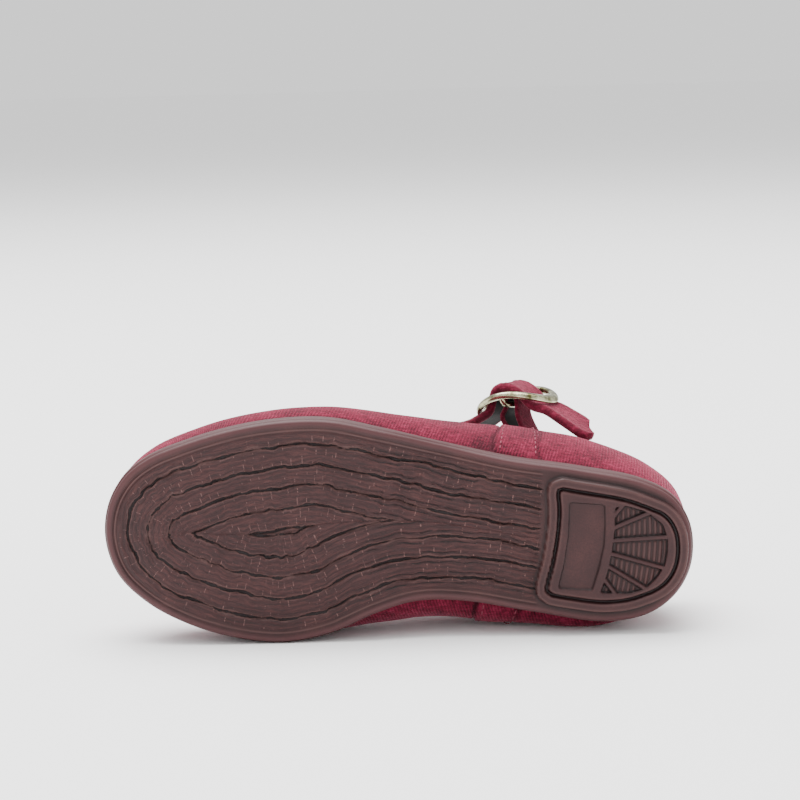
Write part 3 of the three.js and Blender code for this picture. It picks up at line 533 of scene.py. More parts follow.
# noises are scale, detail and roughness, and share is how far the pattern sets the tone
plainLooks = {
    "seam_thread": {"dark": (96, 26, 42), "light": (158, 74, 92), "ramp": (0.35, 0.65), "rough": 0.7,
                    "worn": (3000.0, 3.0, 0.6), "bump": 0.4},
    "dark_lining": {"dark": (11, 10, 10), "light": (28, 26, 26), "ramp": (0.3, 0.75), "rough": 0.9,
                    "worn": (500.0, 3.0), "weave": 0.7, "share": 0.2, "bump": 0.4},
    "footbed": {"dark": (120, 96, 74), "light": (168, 140, 110), "ramp": (0.3, 0.9), "rough": 0.7,
                "worn": (60.0, 3.0), "cells": 1500.0, "share": 0.4, "bump": 0.3},
    "buckle_metal": {"dark": (84, 80, 46), "light": (214, 212, 178), "ramp": (0.36, 0.68), "rough": 0.32,
                     "worn": (260.0, 4.0, 0.6), "dents": (1500.0,), "polish": -0.2, "bump": 0.15},
}


def plainMaterial(name):
    look = plainLooks[name]
    material, tree, shader = newMaterial(name)
    height = worn = objectNoise(tree, *look["worn"])
    others = {"Roughness": look["rough"]}
    if "weave" in look:
        height = times(tree, *(waves(tree, attribute(tree, way), look["weave"]) for way in ("wale", "rise")))
    if "cells" in look:
        where = addNode(tree, "ShaderNodeTexCoord").outputs["Object"]
        cells = addNode(tree, "ShaderNodeTexVoronoi", {"Vector": where, "Scale": look["cells"]})
        height = cells.outputs["Distance"]
    if "dents" in look:
        height = objectNoise(tree, *look["dents"])
        others = {"Roughness": timesPlus(tree, worn, look["polish"], look["rough"]), "Metallic": 1.0}
    tone = timesPlus(tree, height, look["share"], worn) if "share" in look else worn
    colour = addRamp(tree, tone, look, list(zip(look["ramp"], ("dark", "light"))))
    dress(tree, shader, colour, height, look["bump"], 0.0001, others)
    return material


velvet = velvetMaterial("ribbed_velvet")
plainVelvet = velvetMaterial("plain_velvet", ribbed=0.1, shade=0.9)
rubber = rubberMaterial()
thread, lining, footbed, metal = (plainMaterial(name) for name in plainLooks)
print("stage: materials")

# ---- outsole


def treadRelief(x, y, inset, run):
    # How deep the banded tread is cut, the swayed inset, and the shares of groove and of tread
    size = outsole
    pitch, wide = size["pitch"], size["groove"]
    row = np.floor(inset / pitch + 0.5)
    past = smooth(2.5, 5, inset)
    # the bands sway, and each split between them jogs sideways every few millimetres
    sway = size["sway"] * roughness(x, y, 11, 3) + size["fineSway"] * roughness(x, y, 4.5, 8)
    jog = size["jog"] * np.clip(5 * roughness(run + 37 * row, row * 9, 3.2, 5), -1, 1) * past
    swayed = inset + past * sway + jog
    outside = 9
    band = np.abs((swayed + pitch / 2) % pitch - pitch / 2)
    band = np.where(swayed < pitch / 2, outside, band)
    front = smooth(heelBlock["length"] + 1.2, heelBlock["length"] + 2.2, x)
    opened = 0.45 + 0.55 * smooth(-0.35, 0.3, roughness(run + 51 * row, row * 7, 7, 11))
    groove = (1 - smooth(0.15 * wide, 0.75 * wide, band)) * front * opened
    crown = np.clip(band / (pitch / 2), 0, 1)
    deep = size["grooveDeep"] * groove + size["crown"] * front * (1 - crown) ** 1.5 * (band < outside)
    deep += size["uneven"] * front * smooth(2.5, 4, inset) * roughness(run, swayed * 6, 5, 17)
    # fine double line just inside the tread's rim
    for at in size["rimLines"]:
        deep += size["rimLineDeep"] * (1 - smooth(0.1, 0.36, np.abs(inset - at))) * front
    return deep, swayed, groove, front


def heelRelief(flat, inset):
    # Where the heel block is raised, how deep it is cut, its painted shade in hollows and at the foot of its
    # steps, and its painted highlights on edges and ridge crests
    block = heelBlock
    into = signedInside(flat, blockOutline())
    toGroove = np.abs(into - block["border"])
    raised = smooth(-0.2, 0.3, into)
    moat = 1 - smooth(0.32 * block["groove"], 0.62 * block["groove"], toGroove)
    intoPanel = signedInside(flat, roundedLine(block["panel"]))
    intoFan = signedInside(flat, roundedLine(block["fan"]))
    for spoke in block["spokes"]:
        near, _, _ = distanceToLine(flat, onHeel(spoke), closed=False)
        intoFan = np.minimum(intoFan, near - 0.46 * block["spoke"])
    panel, fan = smooth(-0.1, 0.28, intoPanel), smooth(-0.12, 0.3, intoFan)
    bars = 0.5 + 0.5 * np.cos(2 * np.pi * (flat[:, 0] - block["bow"] * flat[:, 1] ** 2) / block["ridge"])
    bars = bars * smooth(0.15, 0.7, intoFan)
    sunk = np.maximum(block["grooveDeep"] * moat, block["relief"] * fan - block["ridgeHigh"] * bars)
    sunk = np.maximum(sunk, block["panelDeep"] * panel)
    # a soft line of painted shade at the foot of each step, and painted highlights on the edges
    foot = 0.72 * softLine(into + 0.4, 0.45) * smooth(0.8, 1.6, inset)
    # painted shade along the recess corners, and with it in the moat and between the fan's ridges
    corner = softLine(intoFan - 0.2, 0.22) + 0.9 * softLine(intoPanel - 0.12, 0.26)
    dark = np.clip(0.9 * moat + 0.8 * corner + 0.55 * fan * (1 - bars), 0, 1)
    edgeHighlights = 0.5 * softLine(into - 0.5, 0.35) + 0.3 * softLine(toGroove - 1.0, 0.28)
    # the last value is a painted highlight on the fan's ridge crests
    return raised, sunk, np.maximum(raised * dark, foot), edgeHighlights * (into > -0.1), 0.35 * bars * fan


def makeOutsole():
    size = outsole
    half = np.concatenate([np.linspace(0, size["heelTo"], size["heelRows"], endpoint=False),
                           np.linspace(size["heelTo"], 0.5, size["restRows"])])
    rows, columns = len(half), size["across"]
    outer, _ = edgeAt(half)
    inner, _ = edgeAt(1 - half)
    across = np.linspace(0, 1, columns)[None, :, None]
    flat = (outer[:, None, :] * (1 - across) + inner[:, None, :] * across).reshape(-1, 3)
    inset, _, nearest = distanceToLine(flat, outline(outlineShare(np.arange(900) / 900)))
    run = nearest * outlineLength
    x = flat[:, 0]
    cut, swayed, groove, front = treadRelief(x, flat[:, 1], inset, run)
    raised, sunk, deep, edgeHighlights, ribHighlights = heelRelief(flat, inset)
    # a painted highlight on the ridge between the rim's two lines
    rim = 0.7 * softLine(inset - size["rimHighlight"], 0.22) * front
    share = x / shoe["length"]
    middle = smooth(0.3, 0.4, share) * (1 - smooth(0.5, 0.62, share))
    flat[:, 2] = (treadHeight(x) + cut) * (1 - raised) + raised * sunk

    rounds = np.concatenate([half, (1 - half)[::-1][1:-1]])
    count = len(rounds)
    ringAt, ringOut = edgeAt(rounds)
    low, high = treadHeight(ringAt[:, 0]), seatHeight(ringAt[:, 0])
    walls = []
    for outset, rise in [*size["wall"][1:], (-size["seatInset"], 1.0)]:
        p = ringAt + ringOut * outset
        p[:, 2] = low + (high - low) * rise
        walls.append(p)
    edge = np.concatenate([np.arange(rows) * columns, (np.arange(rows) * columns + columns - 1)[::-1][1:-1]])
    following = (np.arange(count) + 1) % count
    base = rows * columns
    faces = np.concatenate([
        gridFaces(rows, columns, closeColumns=False),
        np.stack([edge, edge[following], base + following, base + np.arange(count)], 1),
        gridFaces(len(walls), count) + base,
        ladderFaces(count) + base + (len(walls) - 1) * count])

    def onTop(values, rest=0.0):
        return np.concatenate([values, np.full(count * len(walls), rest)])

    marks = {
        # deep marks painted shade in the tread grooves, the heel block's moat and recesses, and at the foot
        # of its steps
        "deep": onTop(np.maximum(deep, 0.5 * groove)), "inset": onTop(swayed),
        "tread": onTop(front * (1 - raised) * smooth(2.6, 3.2, inset)),
        "run": np.concatenate([run, np.tile(rounds * outlineLength, len(walls))]),
        "waist": onTop(np.maximum(middle, 0.6 * (1 - smooth(50, 62, x)))),
        "wall": onTop(1 - smooth(0.2, 1.1, inset), 1.0),
        # ridge paints highlights on the tread's rim, the heel block's edges and the fan's ridge crests
        "ridge": onTop(np.clip(np.maximum(rim, edgeHighlights) + ribHighlights, 0, 1)),
    }
    makePiece("sole", np.concatenate([flat, *walls]), withoutRepeats(faces), [rubber], ("outsole",),
              marks=marks, merge=1e-7)


makeOutsole()
print("stage: outsole")

# ---- upper

# round the shoe, collar point (along, out, up), first handle (swell, rise), second (reach, full, drop)
ribTable = np.array([
    [0.0, 0.02, 0.0, 1.0, 0.4, 0.35, 0.4, 0.3, 0.35],
    [0.04, 0.04, 0.17, 0.975, 0.6, 0.34, 0.3, 0.4, 0.35],
    [0.085, 0.105, 0.3, 0.905, 0.98, 0.33, 0.2, 0.55, 0.36],
    [0.13, 0.205, 0.385, 0.835, 1.08, 0.33, 0.15, 0.6, 0.36],
    [0.19, 0.35, 0.422, 0.785, 1.0, 0.33, 0.15, 0.55, 0.36],
    [0.25, 0.468, 0.415, 0.76, 0.98, 0.34, 0.22, 0.5, 0.33],
    [0.31, 0.555, 0.355, 0.765, 0.93, 0.42, 0.42, 0.34, 0.16],
    [0.37, 0.608, 0.26, 0.775, 1.0, 0.54, 0.55, 0.24, 0.04],
    [0.43, 0.636, 0.125, 0.785, 1.02, 0.66, 0.6, 0.14, 0.0],
    [0.5, 0.643, -0.01, 0.79, 0.6, 0.76, 0.62, 0.02, 0.0],
    [0.565, 0.632, -0.14, 0.785, 0.8, 0.66, 0.6, 0.12, 0.0],
    [0.62, 0.606, -0.245, 0.775, 0.86, 0.54, 0.56, 0.2, 0.06],
    [0.675, 0.56, -0.325, 0.768, 0.66, 0.44, 0.48, 0.28, 0.14],
    [0.702, 0.526, -0.352, 0.769, 1.12, 0.34, 0.36, 0.38, 0.22],
    [0.73, 0.49, -0.372, 0.772, 1.66, 0.25, 0.25, 0.42, 0.3],
    [0.79, 0.385, -0.39, 0.79, 1.78, 0.08, 0.1, 0.3, 0.46],
    [0.85, 0.265, -0.38, 0.822, 1.72, 0.0, 0.12, 0.2, 0.54],
    [0.905, 0.15, -0.33, 0.875, 1.36, 0.0, 0.15, 0.12, 0.54],
    [0.955, 0.05, -0.2, 0.965, 0.6, 0.3, 0.3, 0.42, 0.35],
])
upper = {"swell": 8.0, "feather": 0.2, "rounds": 880, "rise": 60, "inside": 24, "bow": 0.008,
         "toeLevel": 38, "seamLean": 4.0, "fold": 0.22}

# seams of the quarters: the side, where each starts at the sole and ends at the collar in x, and its lap
seams = [
    {"side": 1, "low": 59.0, "high": 55.5, "lap": 0.45, "back": 10.0},
    {"side": -1, "low": 61.0, "high": 64.5, "lap": 0.5, "back": 9.0},
]


def ribColumns(rounds):
    share = np.atleast_1d(rounds) % 1
    count = len(ribTable)
    k = np.searchsorted(ribTable[:, 0], share, side="right") - 1

    def row(i):
        found = ribTable[i % count].copy()
        found[:, 0] += np.floor_divide(i, count)
        return found

    a, b, c, d = row(k - 1), row(k), row(k + 1), row(k + 2)
    span = (c[:, :1] - b[:, :1])
    t = (share[:, None] - b[:, :1]) / span
    m = (c - a) / (c[:, :1] - a[:, :1]) * span
    n = (d - b) / (d[:, :1] - b[:, :1]) * span
    return cubic(b, c, m, n, t)


def ribHandles(rounds):
    value = ribColumns(rounds)
    at, out = edgeAt(rounds)
    foot = at - out * upper["feather"]
    foot[:, 2] = seatHeight(at[:, 0]) + shoe["clearance"]
    collar = value[:, 1:4] * [shoe["length"], shoe["ball"], shoe["collar"]]
    tall = collar[:, 2] - foot[:, 2]
    low = foot + out * value[:, 4:5] * upper["swell"]
    low[:, 2] += value[:, 5] * tall
    level = foot.copy()
    level[:, 2] = collar[:, 2]
    high = collar + (level - collar) * value[:, 6:7] + out * value[:, 7:8] * upper["swell"]
    high[:, 2] -= value[:, 8] * tall
    return foot, low, high, collar


def onRib(handles, up):
    a, b, c, d = (h[:, None, :] for h in handles)
    t = np.atleast_1d(up)[None, :, None]
    s = 1 - t
    at = s ** 3 * a + 3 * s * s * t * b + 3 * s * t * t * c + t ** 3 * d
    way = 3 * s * s * (b - a) + 6 * s * t * (c - b) + 3 * t * t * (d - c)
    return at, unit(way)


def upperGrid(rounds, up, depth=0.0):
    # Points, outward normals and ways round and up, each by round and then by height
    small = 0.004
    at, way = onRib(ribHandles(rounds), up)
    after, _ = onRib(ribHandles(np.atleast_1d(rounds) + small), up)
    before, _ = onRib(ribHandles(np.atleast_1d(rounds) - small), up)
    across = unit(after - before)
    normal = unit(np.cross(way, across))
    return at - normal * depth, normal, across, way


def onUpper(turn, up, depth=0.0):
    return (v[0, 0] for v in upperGrid(np.array([turn]), [up], depth))


def roundUpper(rounds, up, depth=0.0):
    return (v[:, 0] for v in upperGrid(rounds, [up], depth))


def waleOf(points):
    # The ribs cross the shoe, and over the toe they turn level, as cloth drawn down over it does
    toe = smooth(0.78, 1.02, points[..., 0] / shoe["length"])
    return points[..., 0] + upper["bow"] * points[..., 1] ** 2 + toe * (upper["toeLevel"] - points[..., 2])


def seamRelief(at, up):
    # Rise of the skin over its plain shape, and how dark its pile is made, partly pressed pile and partly
    # painted shade in seam grooves, fold hollows and at the feather edge, for points by round and height
    rise, crushAndShade = np.zeros(at.shape[:2]), np.zeros(at.shape[:2])
    x, y = at[..., 0], at[..., 1]
    for seam in seams:
        there = (y * seam["side"] > 6) * smooth(0.0, 0.06, up) * (1 - smooth(0.93, 1.0, up))
        past = seam["low"] + (seam["high"] - seam["low"]) * up - x + 0.5 * np.sin(up * 9)
        second = past - seam["back"] - upper["seamLean"] * (1 - up)
        lap = smooth(-0.15, 0.3, past) * (1 - smooth(0.5 * seam["back"], 1.4 * seam["back"], past))
        rise += there * (seam["lap"] * lap - 0.55 * softLine(past + 0.25, 0.32)
                         - 0.28 * softLine(second, 0.45))
        # pressed pile and painted shade along the seam groove, beside the lap and along the second line
        crushAndShade += there * (0.9 * softLine(past + 0.3, 0.6) + 0.3 * softLine(past + 4, 3.5)
                          + 0.5 * softLine(second, 0.7))
    # slight folds where the quarters bend, with painted shade in their hollows, and pressed pile with painted
    # shade at the feather edge
    fold = roughness(x * 0.5 + y * 0.2, at[..., 2] * 0.9 + x * 0.3, 6, 31)
    rise += upper["fold"] * fold * smooth(0.1, 0.35, up) * (1 - smooth(0.75, 0.95, up))
    crushAndShade += 0.35 * (1 - smooth(0.0, 0.09, up)) + 0.3 * np.clip(-fold, 0, 1)
    return rise, np.clip(crushAndShade, 0, 1)


def makeUpper():
    size = upper
    rounds = np.arange(size["rounds"]) / size["rounds"]
    up = np.linspace(0, 1, size["rise"])
    skin, normal, _, _ = upperGrid(rounds, up)
    rise, crushAndShade = seamRelief(skin, up[None, :])
    skin = skin + normal * rise[..., None]
    inside, _, _, _ = upperGrid(rounds, np.linspace(1, 0, size["inside"]), shoe["upperWall"])
    rows = np.concatenate([skin.transpose(1, 0, 2), inside.transpose(1, 0, 2)])
    count = size["rise"] + size["inside"]
    points = rows.reshape(-1, 3)
    faces = gridFaces(count, size["rounds"], closeRows=True)
    row = np.repeat(np.arange(count), size["rounds"])
    pick = np.where(row < size["rise"] - 1, 0, 1)
    crushAndShade = np.concatenate([crushAndShade.T.ravel(), np.zeros(size["inside"] * size["rounds"])])
    marks = {"wale": waleOf(points), "rise": points[:, 2], "crushAndShade": crushAndShade}
    makePiece("upper_shell", points, faces, [velvet, lining], ("upper",), pick, marks)


makeUpper()
print("stage: upper")


binding = {"width": 2.6, "spread": 1.15, "rounds": 420, "sides": 18}


def makeBinding():
    rounds = np.arange(binding["rounds"]) / binding["rounds"]
    at, normal, _, way = roundUpper(rounds, 1.0, shoe["upperWall"] / 2)
    radius = binding["width"] / 2
    centre = at + way * (radius + shoe["clearance"])
    angle = turns(binding["sides"])
    ring = (centre[:, None] + radius * binding["spread"] * np.cos(angle)[None, :, None] * normal[:, None]
            + radius * np.sin(angle)[None, :, None] * way[:, None])
    points = ring.reshape(-1, 3)
    faces = gridFaces(len(rounds), binding["sides"], closeRows=True)
    marks = {"wale": waleOf(points), "rise": points[:, 2]}
    makePiece("collar_binding", points, faces, [plainVelvet], ("topline_binding",), marks=marks)


insole = {
    "rounds": 300,
    # how far inside the sole's edge, and how high
    "section": [(2.95, 0.0), (2.9, 0.3), (2.9, 2.0), (3.05, 2.6), (3.4, 2.93), (3.9, 3.0)],
}


def makeInsole():
    count = insole["rounds"]
    at, out = edgeAt(np.arange(count) / count)
    rings = []
    for inset, rise in insole["section"]:
        p = at - out * inset
        p[:, 2] = seatHeight(at[:, 0]) + shoe["clearance"] + rise
        rings.append(p)
    ladder = ladderFaces(count)
    faces = np.concatenate([gridFaces(len(rings), count), ladder, ladder + (len(rings) - 1) * count])
    makePiece("footbed", np.concatenate(rings), withoutRepeats(faces), [footbed], ("insole",))


makeBinding()
makeInsole()
print("stage: binding and insole")

# ---- buckle and straps

buckle = {
    "along": 0.297, "out": 0.54, "up": 0.815, "turn": 13, "lean": 7, "pitch": 30,
    "length": 27.0, "width": 20.8, "rim": 2.7, "thick": 2.2, "dome": 4.5, "bar": 1.8, "barDrop": 2.4,
    "prong": 1.3,
}


def buckleMatrix():
    turn, lean, pitch = (math.radians(buckle[k]) for k in ("turn", "lean", "pitch"))
    out = np.array([math.sin(turn) * math.cos(lean), math.cos(turn) * math.cos(lean), math.sin(lean)])
    back = np.array([-math.cos(turn), math.sin(turn), 0])
    upward = np.cross(out, back)
    down = back * math.cos(pitch) - upward * math.sin(pitch)
    return np.stack([down, np.cross(out, down), out], 1), np.array(
        [buckle["along"] * shoe["length"], buckle["out"] * shoe["ball"], buckle["up"] * shoe["instep"]])


buckleTurn, buckleCentre = buckleMatrix()
buckleSide = buckleTurn[:, 1]


def onBuckle(points):
    return np.asarray(points, float) @ buckleTurn.T + buckleCentre


def rimHeight(x):
    return buckle["barDrop"] - buckle["dome"] * (2 * x / buckle["length"]) ** 2


def tube(points, radius, steps):
    # A round wire along a line, with rounded ends
    sides = 16
    place = catmullRom(points)
    share, length = evenShare(place)
    t = share(np.linspace(0, 1, steps))
    at, way = place(t), tangentOf(place, t)
    side = unit(np.cross(way, buckleSide + 0.001))
    up = np.cross(side, way)
    run = np.linspace(0, length, steps)
    near = np.clip(np.minimum(run, length - run) / radius, 0, 1)
    wide = radius * np.sqrt(np.clip(1 - (1 - near) ** 2, 0.02, 1))
    angle = turns(sides)
    ring = at[:, None] + wide[:, None, None] * (
        np.cos(angle)[None, :, None] * side[:, None] + np.sin(angle)[None, :, None] * up[:, None])
    return ring.reshape(-1, 3), cappedFaces(steps, sides)


def swollen(wave, power):
    # A sine or cosine whose round is squared off
    return 0.5 * np.sign(wave) * np.abs(wave) ** power


def makeBuckle():
    steps, sides = 160, 20
    angle = turns(steps)
    way = np.stack([np.cos(angle), np.sin(angle)], 1)
    middle = way * [(buckle["length"] - buckle["rim"]) / 2, (buckle["width"] - buckle["rim"]) / 2]
    around = turns(sides)
    across, out = swollen(np.cos(around), 0.8), swollen(np.sin(around), 0.7)
    flat = middle[:, None] + way[:, None] * (across * buckle["rim"])[None, :, None]
    height = rimHeight(flat[..., 0]) + out[None, :] * buckle["thick"]
    ring = onBuckle(np.concatenate([flat, height[..., None]], 2).reshape(-1, 3))
    makePiece("buckle_ring", ring, gridFaces(steps, sides, closeRows=True), [metal],
              ("buckle_frame",))
    reach = (buckle["width"] - buckle["rim"]) / 2
    path = [(0, share * reach, buckle["barDrop"] * (abs(share) == 1)) for share in (-1, -0.88, 0.88, 1)]
    bar, faces = tube(onBuckle(path), buckle["bar"] / 2, 60)
    makePiece("buckle_bar", bar, faces, [metal], ())


def makeProng():
    rim = (buckle["length"] - buckle["rim"]) / 2
    centre = (buckle["bar"] + buckle["prong"]) / 2 + shoe["clearance"]
    hook = [(centre * math.cos(h * math.pi), 0, centre * math.sin(h * math.pi))
            for h in (-0.1, 0.05, 0.3, 0.55, 0.8)]
    seat = rimHeight(rim) + (buckle["thick"] + buckle["prong"]) / 2 + shoe["clearance"]
    path = onBuckle([*hook, (-0.6 * rim, 0, 0.5 * (seat + centre)), (-rim - 0.6, 0, seat)])
    points, faces = tube(path, buckle["prong"] / 2, 90)
    makePiece("prong", points, faces, [metal], ("buckle_prong",))


makeBuckle()
makeProng()
print("stage: buckle")

strap = {
    "width": 12.2, "thick": 2.7, "steps": 460, "spread": 1.15, "back": 1.5, "rise": 0.4,
    "anchor": [(0.835, 0.55), (0.82, 0.78), (0.805, 0.98)],
    "instep": [(0.379, -0.317, 0.685, 0.15), (0.4, -0.263, 0.803, 0.1), (0.417, -0.162, 0.916, 0.05),
               (0.431, -0.015, 0.994, 0.0), (0.433, 0.139, 1.029, 0.08), (0.426, 0.27, 1.026, 0.3),
               (0.406, 0.365, 0.994, 0.7)],
    "tail": [(0.35, 0.27, 3), (0.75, 0.6, 6), (1.0, 0.82, 8)], "tailLength": 10.8, "legTwist": -14,
    "slant": 4.6, "roll": 0.26,
}
tab = {
    "width": 9.0, "thick": 1.5, "steps": 300, "reach": 16.0,
    "inner": [(0.54, -1.3), (0.17, -1.0), (-0.11, -0.6), (-0.25, -0.26)],
    "outer": [(0.09, -0.3), (0.23, -0.74), (0.45, -1.06), (0.68, -1.18)],
    "anchor": [(0.13, 1.0), (0.118, 0.82), (0.107, 0.64)],
}


def bandDepth(thick):
    return (shoe["upperWall"] + binding["spread"] * binding["width"] + thick) / 2 + 4 * shoe["clearance"]


def bandPiece(name, stations, size, nodes, slant=0.0, roll=0.0):
    # stations are (place, way across)
    width, thick, steps = size["width"], size["thick"], size["steps"]
    middles = catmullRom([s[0] for s in stations])
    sides = catmullRom([s[1] for s in stations], centripetal=False)
    share, length = evenShare(middles)
    run = np.linspace(0, 1, steps) * length
    t = share(run / length)
    at, way = middles(t), tangentOf(middles, t)
    out = unit(np.cross(way, sides(t)))
    side = unit(np.cross(out, way))
    wide = np.ones(steps)
    if slant:
        left = np.clip((length - run) / (0.34 * width), 0, 1)
        wide = np.sqrt(np.clip(1 - (1 - left) ** 2, 0.02, 1)) ** 0.8
    count = 36
    angle = turns(count)
    a, b = swollen(np.cos(angle), 0.3), swollen(np.sin(angle), 0.75)
    # the edges are folded over, so they stand a little proud of the middle
    b = b * (1 - 0.5 * roll + roll * softLine(np.abs(a) - 0.41, 0.07))
    lean = slant * smooth(length - 1.2 * width, length, run) * -np.sign(side[-1, 2])
    ring = (at[:, None] + side[:, None] * (a[None, :, None] * width * wide[:, None, None])
            + out[:, None] * (b * thick)[None, :, None]
            + way[:, None] * (lean[:, None] * a[None, :])[..., None])
    under = (b < -0.3) & (np.abs(a) < 0.37)
    pick = np.concatenate([np.tile(np.where(under & np.roll(under, -1), 1, 0), steps - 1), [0, 0]])
    marks = {"wale": np.repeat(run, count), "rise": np.tile(a * width, steps)}
    makePiece(name, ring.reshape(-1, 3), cappedFaces(steps, count), [plainVelvet, lining], nodes,
              pick, marks)
    return at, side, out, run


clear = shoe["clearance"]
loop = (buckle["bar"] + tab["thick"]) / 2 + 1.5 * clear


def overBuckle(x, z):
    return onBuckle((x, 0, z)), buckleSide


def makeStrap():
    stations = []
    for turn, up in strap["anchor"]:
        at, _, across, _ = onUpper(turn, up, bandDepth(strap["thick"]))
        stations.append((at, across))
    for along, out, up, lean in strap["instep"]:
        stations.append((np.array([along * shoe["length"], out * shoe["ball"], up * shoe["instep"]]),
                         np.array([-math.cos(lean), 0, math.sin(lean)])))
    rim = (buckle["length"] - buckle["rim"]) / 2
    over = loop + (tab["thick"] + strap["thick"]) / 2 + clear

    def under(x):
        return rimHeight(x) - (buckle["thick"] + strap["thick"]) / 2 - 2.5 * clear

    def turned(x, z, twist):
        angle = math.radians(twist)
        place, side = overBuckle(x, z)
        return place, side * math.cos(angle) + buckleTurn[:, 2] * math.sin(angle)

    stations.append(turned(-1.35 * rim, under(rim) - 0.5 * strap["thick"], strap["legTwist"]))
    for share in (1, 0.62):
        stations.append(turned(-share * rim, under(share * rim), share * 0.7 * strap["legTwist"]))
    for half in (0.84, 0.67, 0.5, 0.33, 0.16):
        down, out = math.cos(half * math.pi), math.sin(half * math.pi)
        stations.append(overBuckle(strap["spread"] * over * down - strap["back"] * out,
                                   (over + strap["rise"]) * out))
    for share in (0.62, 1):
        stations.append(overBuckle(share * rim, under(share * rim)))
    for down, fall, twist in strap["tail"]:
        reach = strap["tailLength"]
        stations.append(turned(rim + down * reach, under(rim) - fall * reach, twist))
    return bandPiece("strap_band", stations, strap, ("strap",), strap["slant"], strap["roll"])


def makeTab():
    def wall(turn, up, extra):
        at, normal, _, _ = onUpper(turn, up, bandDepth(tab["thick"]) + extra)
        return at, buckleSide - normal * (buckleSide @ normal)

    reach = tab["reach"]
    stations = [wall(turn, up, tab["thick"] + clear) for turn, up in tab["anchor"][::-1]]
    stations += [overBuckle(down * reach, out * reach) for down, out in tab["inner"]]
    stations += [overBuckle(loop * math.cos(h * math.pi), loop * math.sin(h * math.pi))
                 for h in (1.15, 0.85, 0.5, 0.15, -0.15)]
    stations += [overBuckle(down * reach, out * reach) for down, out in tab["outer"]]
    stations += [wall(turn, up, 0) for turn, up in tab["anchor"]]
    bandPiece("tab_loop", stations, tab, ("buckle_tab",))


strapPath = makeStrap()
makeTab()
print("stage: strap and tab")

# ---- stitches

stitch = {"Length": 1.5, "Width": 0.46, "High": 0.34}
stitchPitch = 2.2


def stitchTree():
    # Lays one stitch on each point, along its way and standing out of the cloth
    tree = bpy.data.node_groups.new("stitches", "GeometryNodeTree")
    face = tree.interface
    face.new_socket("Geometry", in_out="INPUT", socket_type="NodeSocketGeometry")
    for name in stitch:
        face.new_socket(name, in_out="INPUT", socket_type="NodeSocketFloat")
    face.new_socket("Thread", in_out="INPUT", socket_type="NodeSocketMaterial")
    face.new_socket("Geometry", in_out="OUTPUT", socket_type="NodeSocketGeometry")
    given = addNode(tree, "NodeGroupInput").outputs
    ball = addNode(tree, "GeometryNodeMeshUVSphere", {"Segments": 8, "Rings": 5, "Radius": 0.5}).outputs[0]
    bead = addNode(tree, "GeometryNodeSetShadeSmooth", {"Geometry": ball}).outputs[0]
    size = addNode(tree, "ShaderNodeCombineXYZ", {k: given[name] for k, name in enumerate(stitch)}).outputs[0]
    way, out = (addNode(tree, "GeometryNodeInputNamedAttribute", {"Name": name}, data_type="FLOAT_VECTOR")
                for name in ("way", "out"))
    turn = addNode(tree, "FunctionNodeAxesToRotation", {
        "Primary Axis": way.outputs["Attribute"], "Secondary Axis": out.outputs["Attribute"]},
        primary_axis="X", secondary_axis="Z").outputs[0]
    laid = addNode(tree, "GeometryNodeInstanceOnPoints", {
        "Points": given["Geometry"], "Instance": bead, "Rotation": turn, "Scale": size}).outputs[0]
    real = addNode(tree, "GeometryNodeRealizeInstances", {"Geometry": laid}).outputs[0]
    shown = addNode(tree, "GeometryNodeSetMaterial", {
        "Geometry": real, "Material": given["Thread"]}).outputs[0]
    addNode(tree, "NodeGroupOutput", {"Geometry": shown})
    return tree


stitches = stitchTree()


def spaced(at, *others):
    # Every pitch along a line of points, with the values that go with them
    run = np.concatenate([[0], np.cumsum(np.linalg.norm(np.diff(at, axis=0), axis=1))])
    want = np.arange(0.5 * stitchPitch, run[-1], stitchPitch)
    return [np.stack([np.interp(want, run, v[:, k]) for k in range(3)], 1) for v in (at, *others)]


def makeStitches(name, lines):
    # Each line is (places, ways along, ways out)
    at, way, out = (np.concatenate(v) for v in zip(*(spaced(*line) for line in lines)))
    points = bpy.data.meshes.new(name + "_places")
    points.from_pydata(laidDown(at).tolist(), [], [])
    for label, values in (("way", way), ("out", out)):
        mark = points.attributes.new(label, "FLOAT_VECTOR", "POINT")
        mark.data.foreach_set("vector", (values @ layDown[:, :3].T).astype(np.float32).ravel())
    holder = addObject(name + "_places", points)
    laid = holder.modifiers.new("stitches", "NODES")
    laid.node_group = stitches
    given = {item.name: item.identifier for item in stitches.interface.items_tree if item.in_out == "INPUT"}
    for label, value in stitch.items():
        laid[given[label]] = value / 1000
    laid[given["Thread"]] = thread
    mesh = bpy.data.meshes.new_from_object(holder.evaluated_get(bpy.context.evaluated_depsgraph_get()))
    bpy.data.objects.remove(holder)
    piece = addObject(name, mesh)
    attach(piece, "root")


def makeStrapStitches():
    at, side, out, run = strapPath
    keep = (run > 4) & (run < run[-1] - 3.5)
    at, side, out = at[keep], side[keep], out[keep]
    way = unit(np.gradient(at, axis=0))
    inset = strap["width"] / 2 - 1.7
    makeStitches("strap_stitches", [
        (at + edge * side * inset + out * (0.49 * strap["thick"]), way, out) for edge in (-1, 1)])


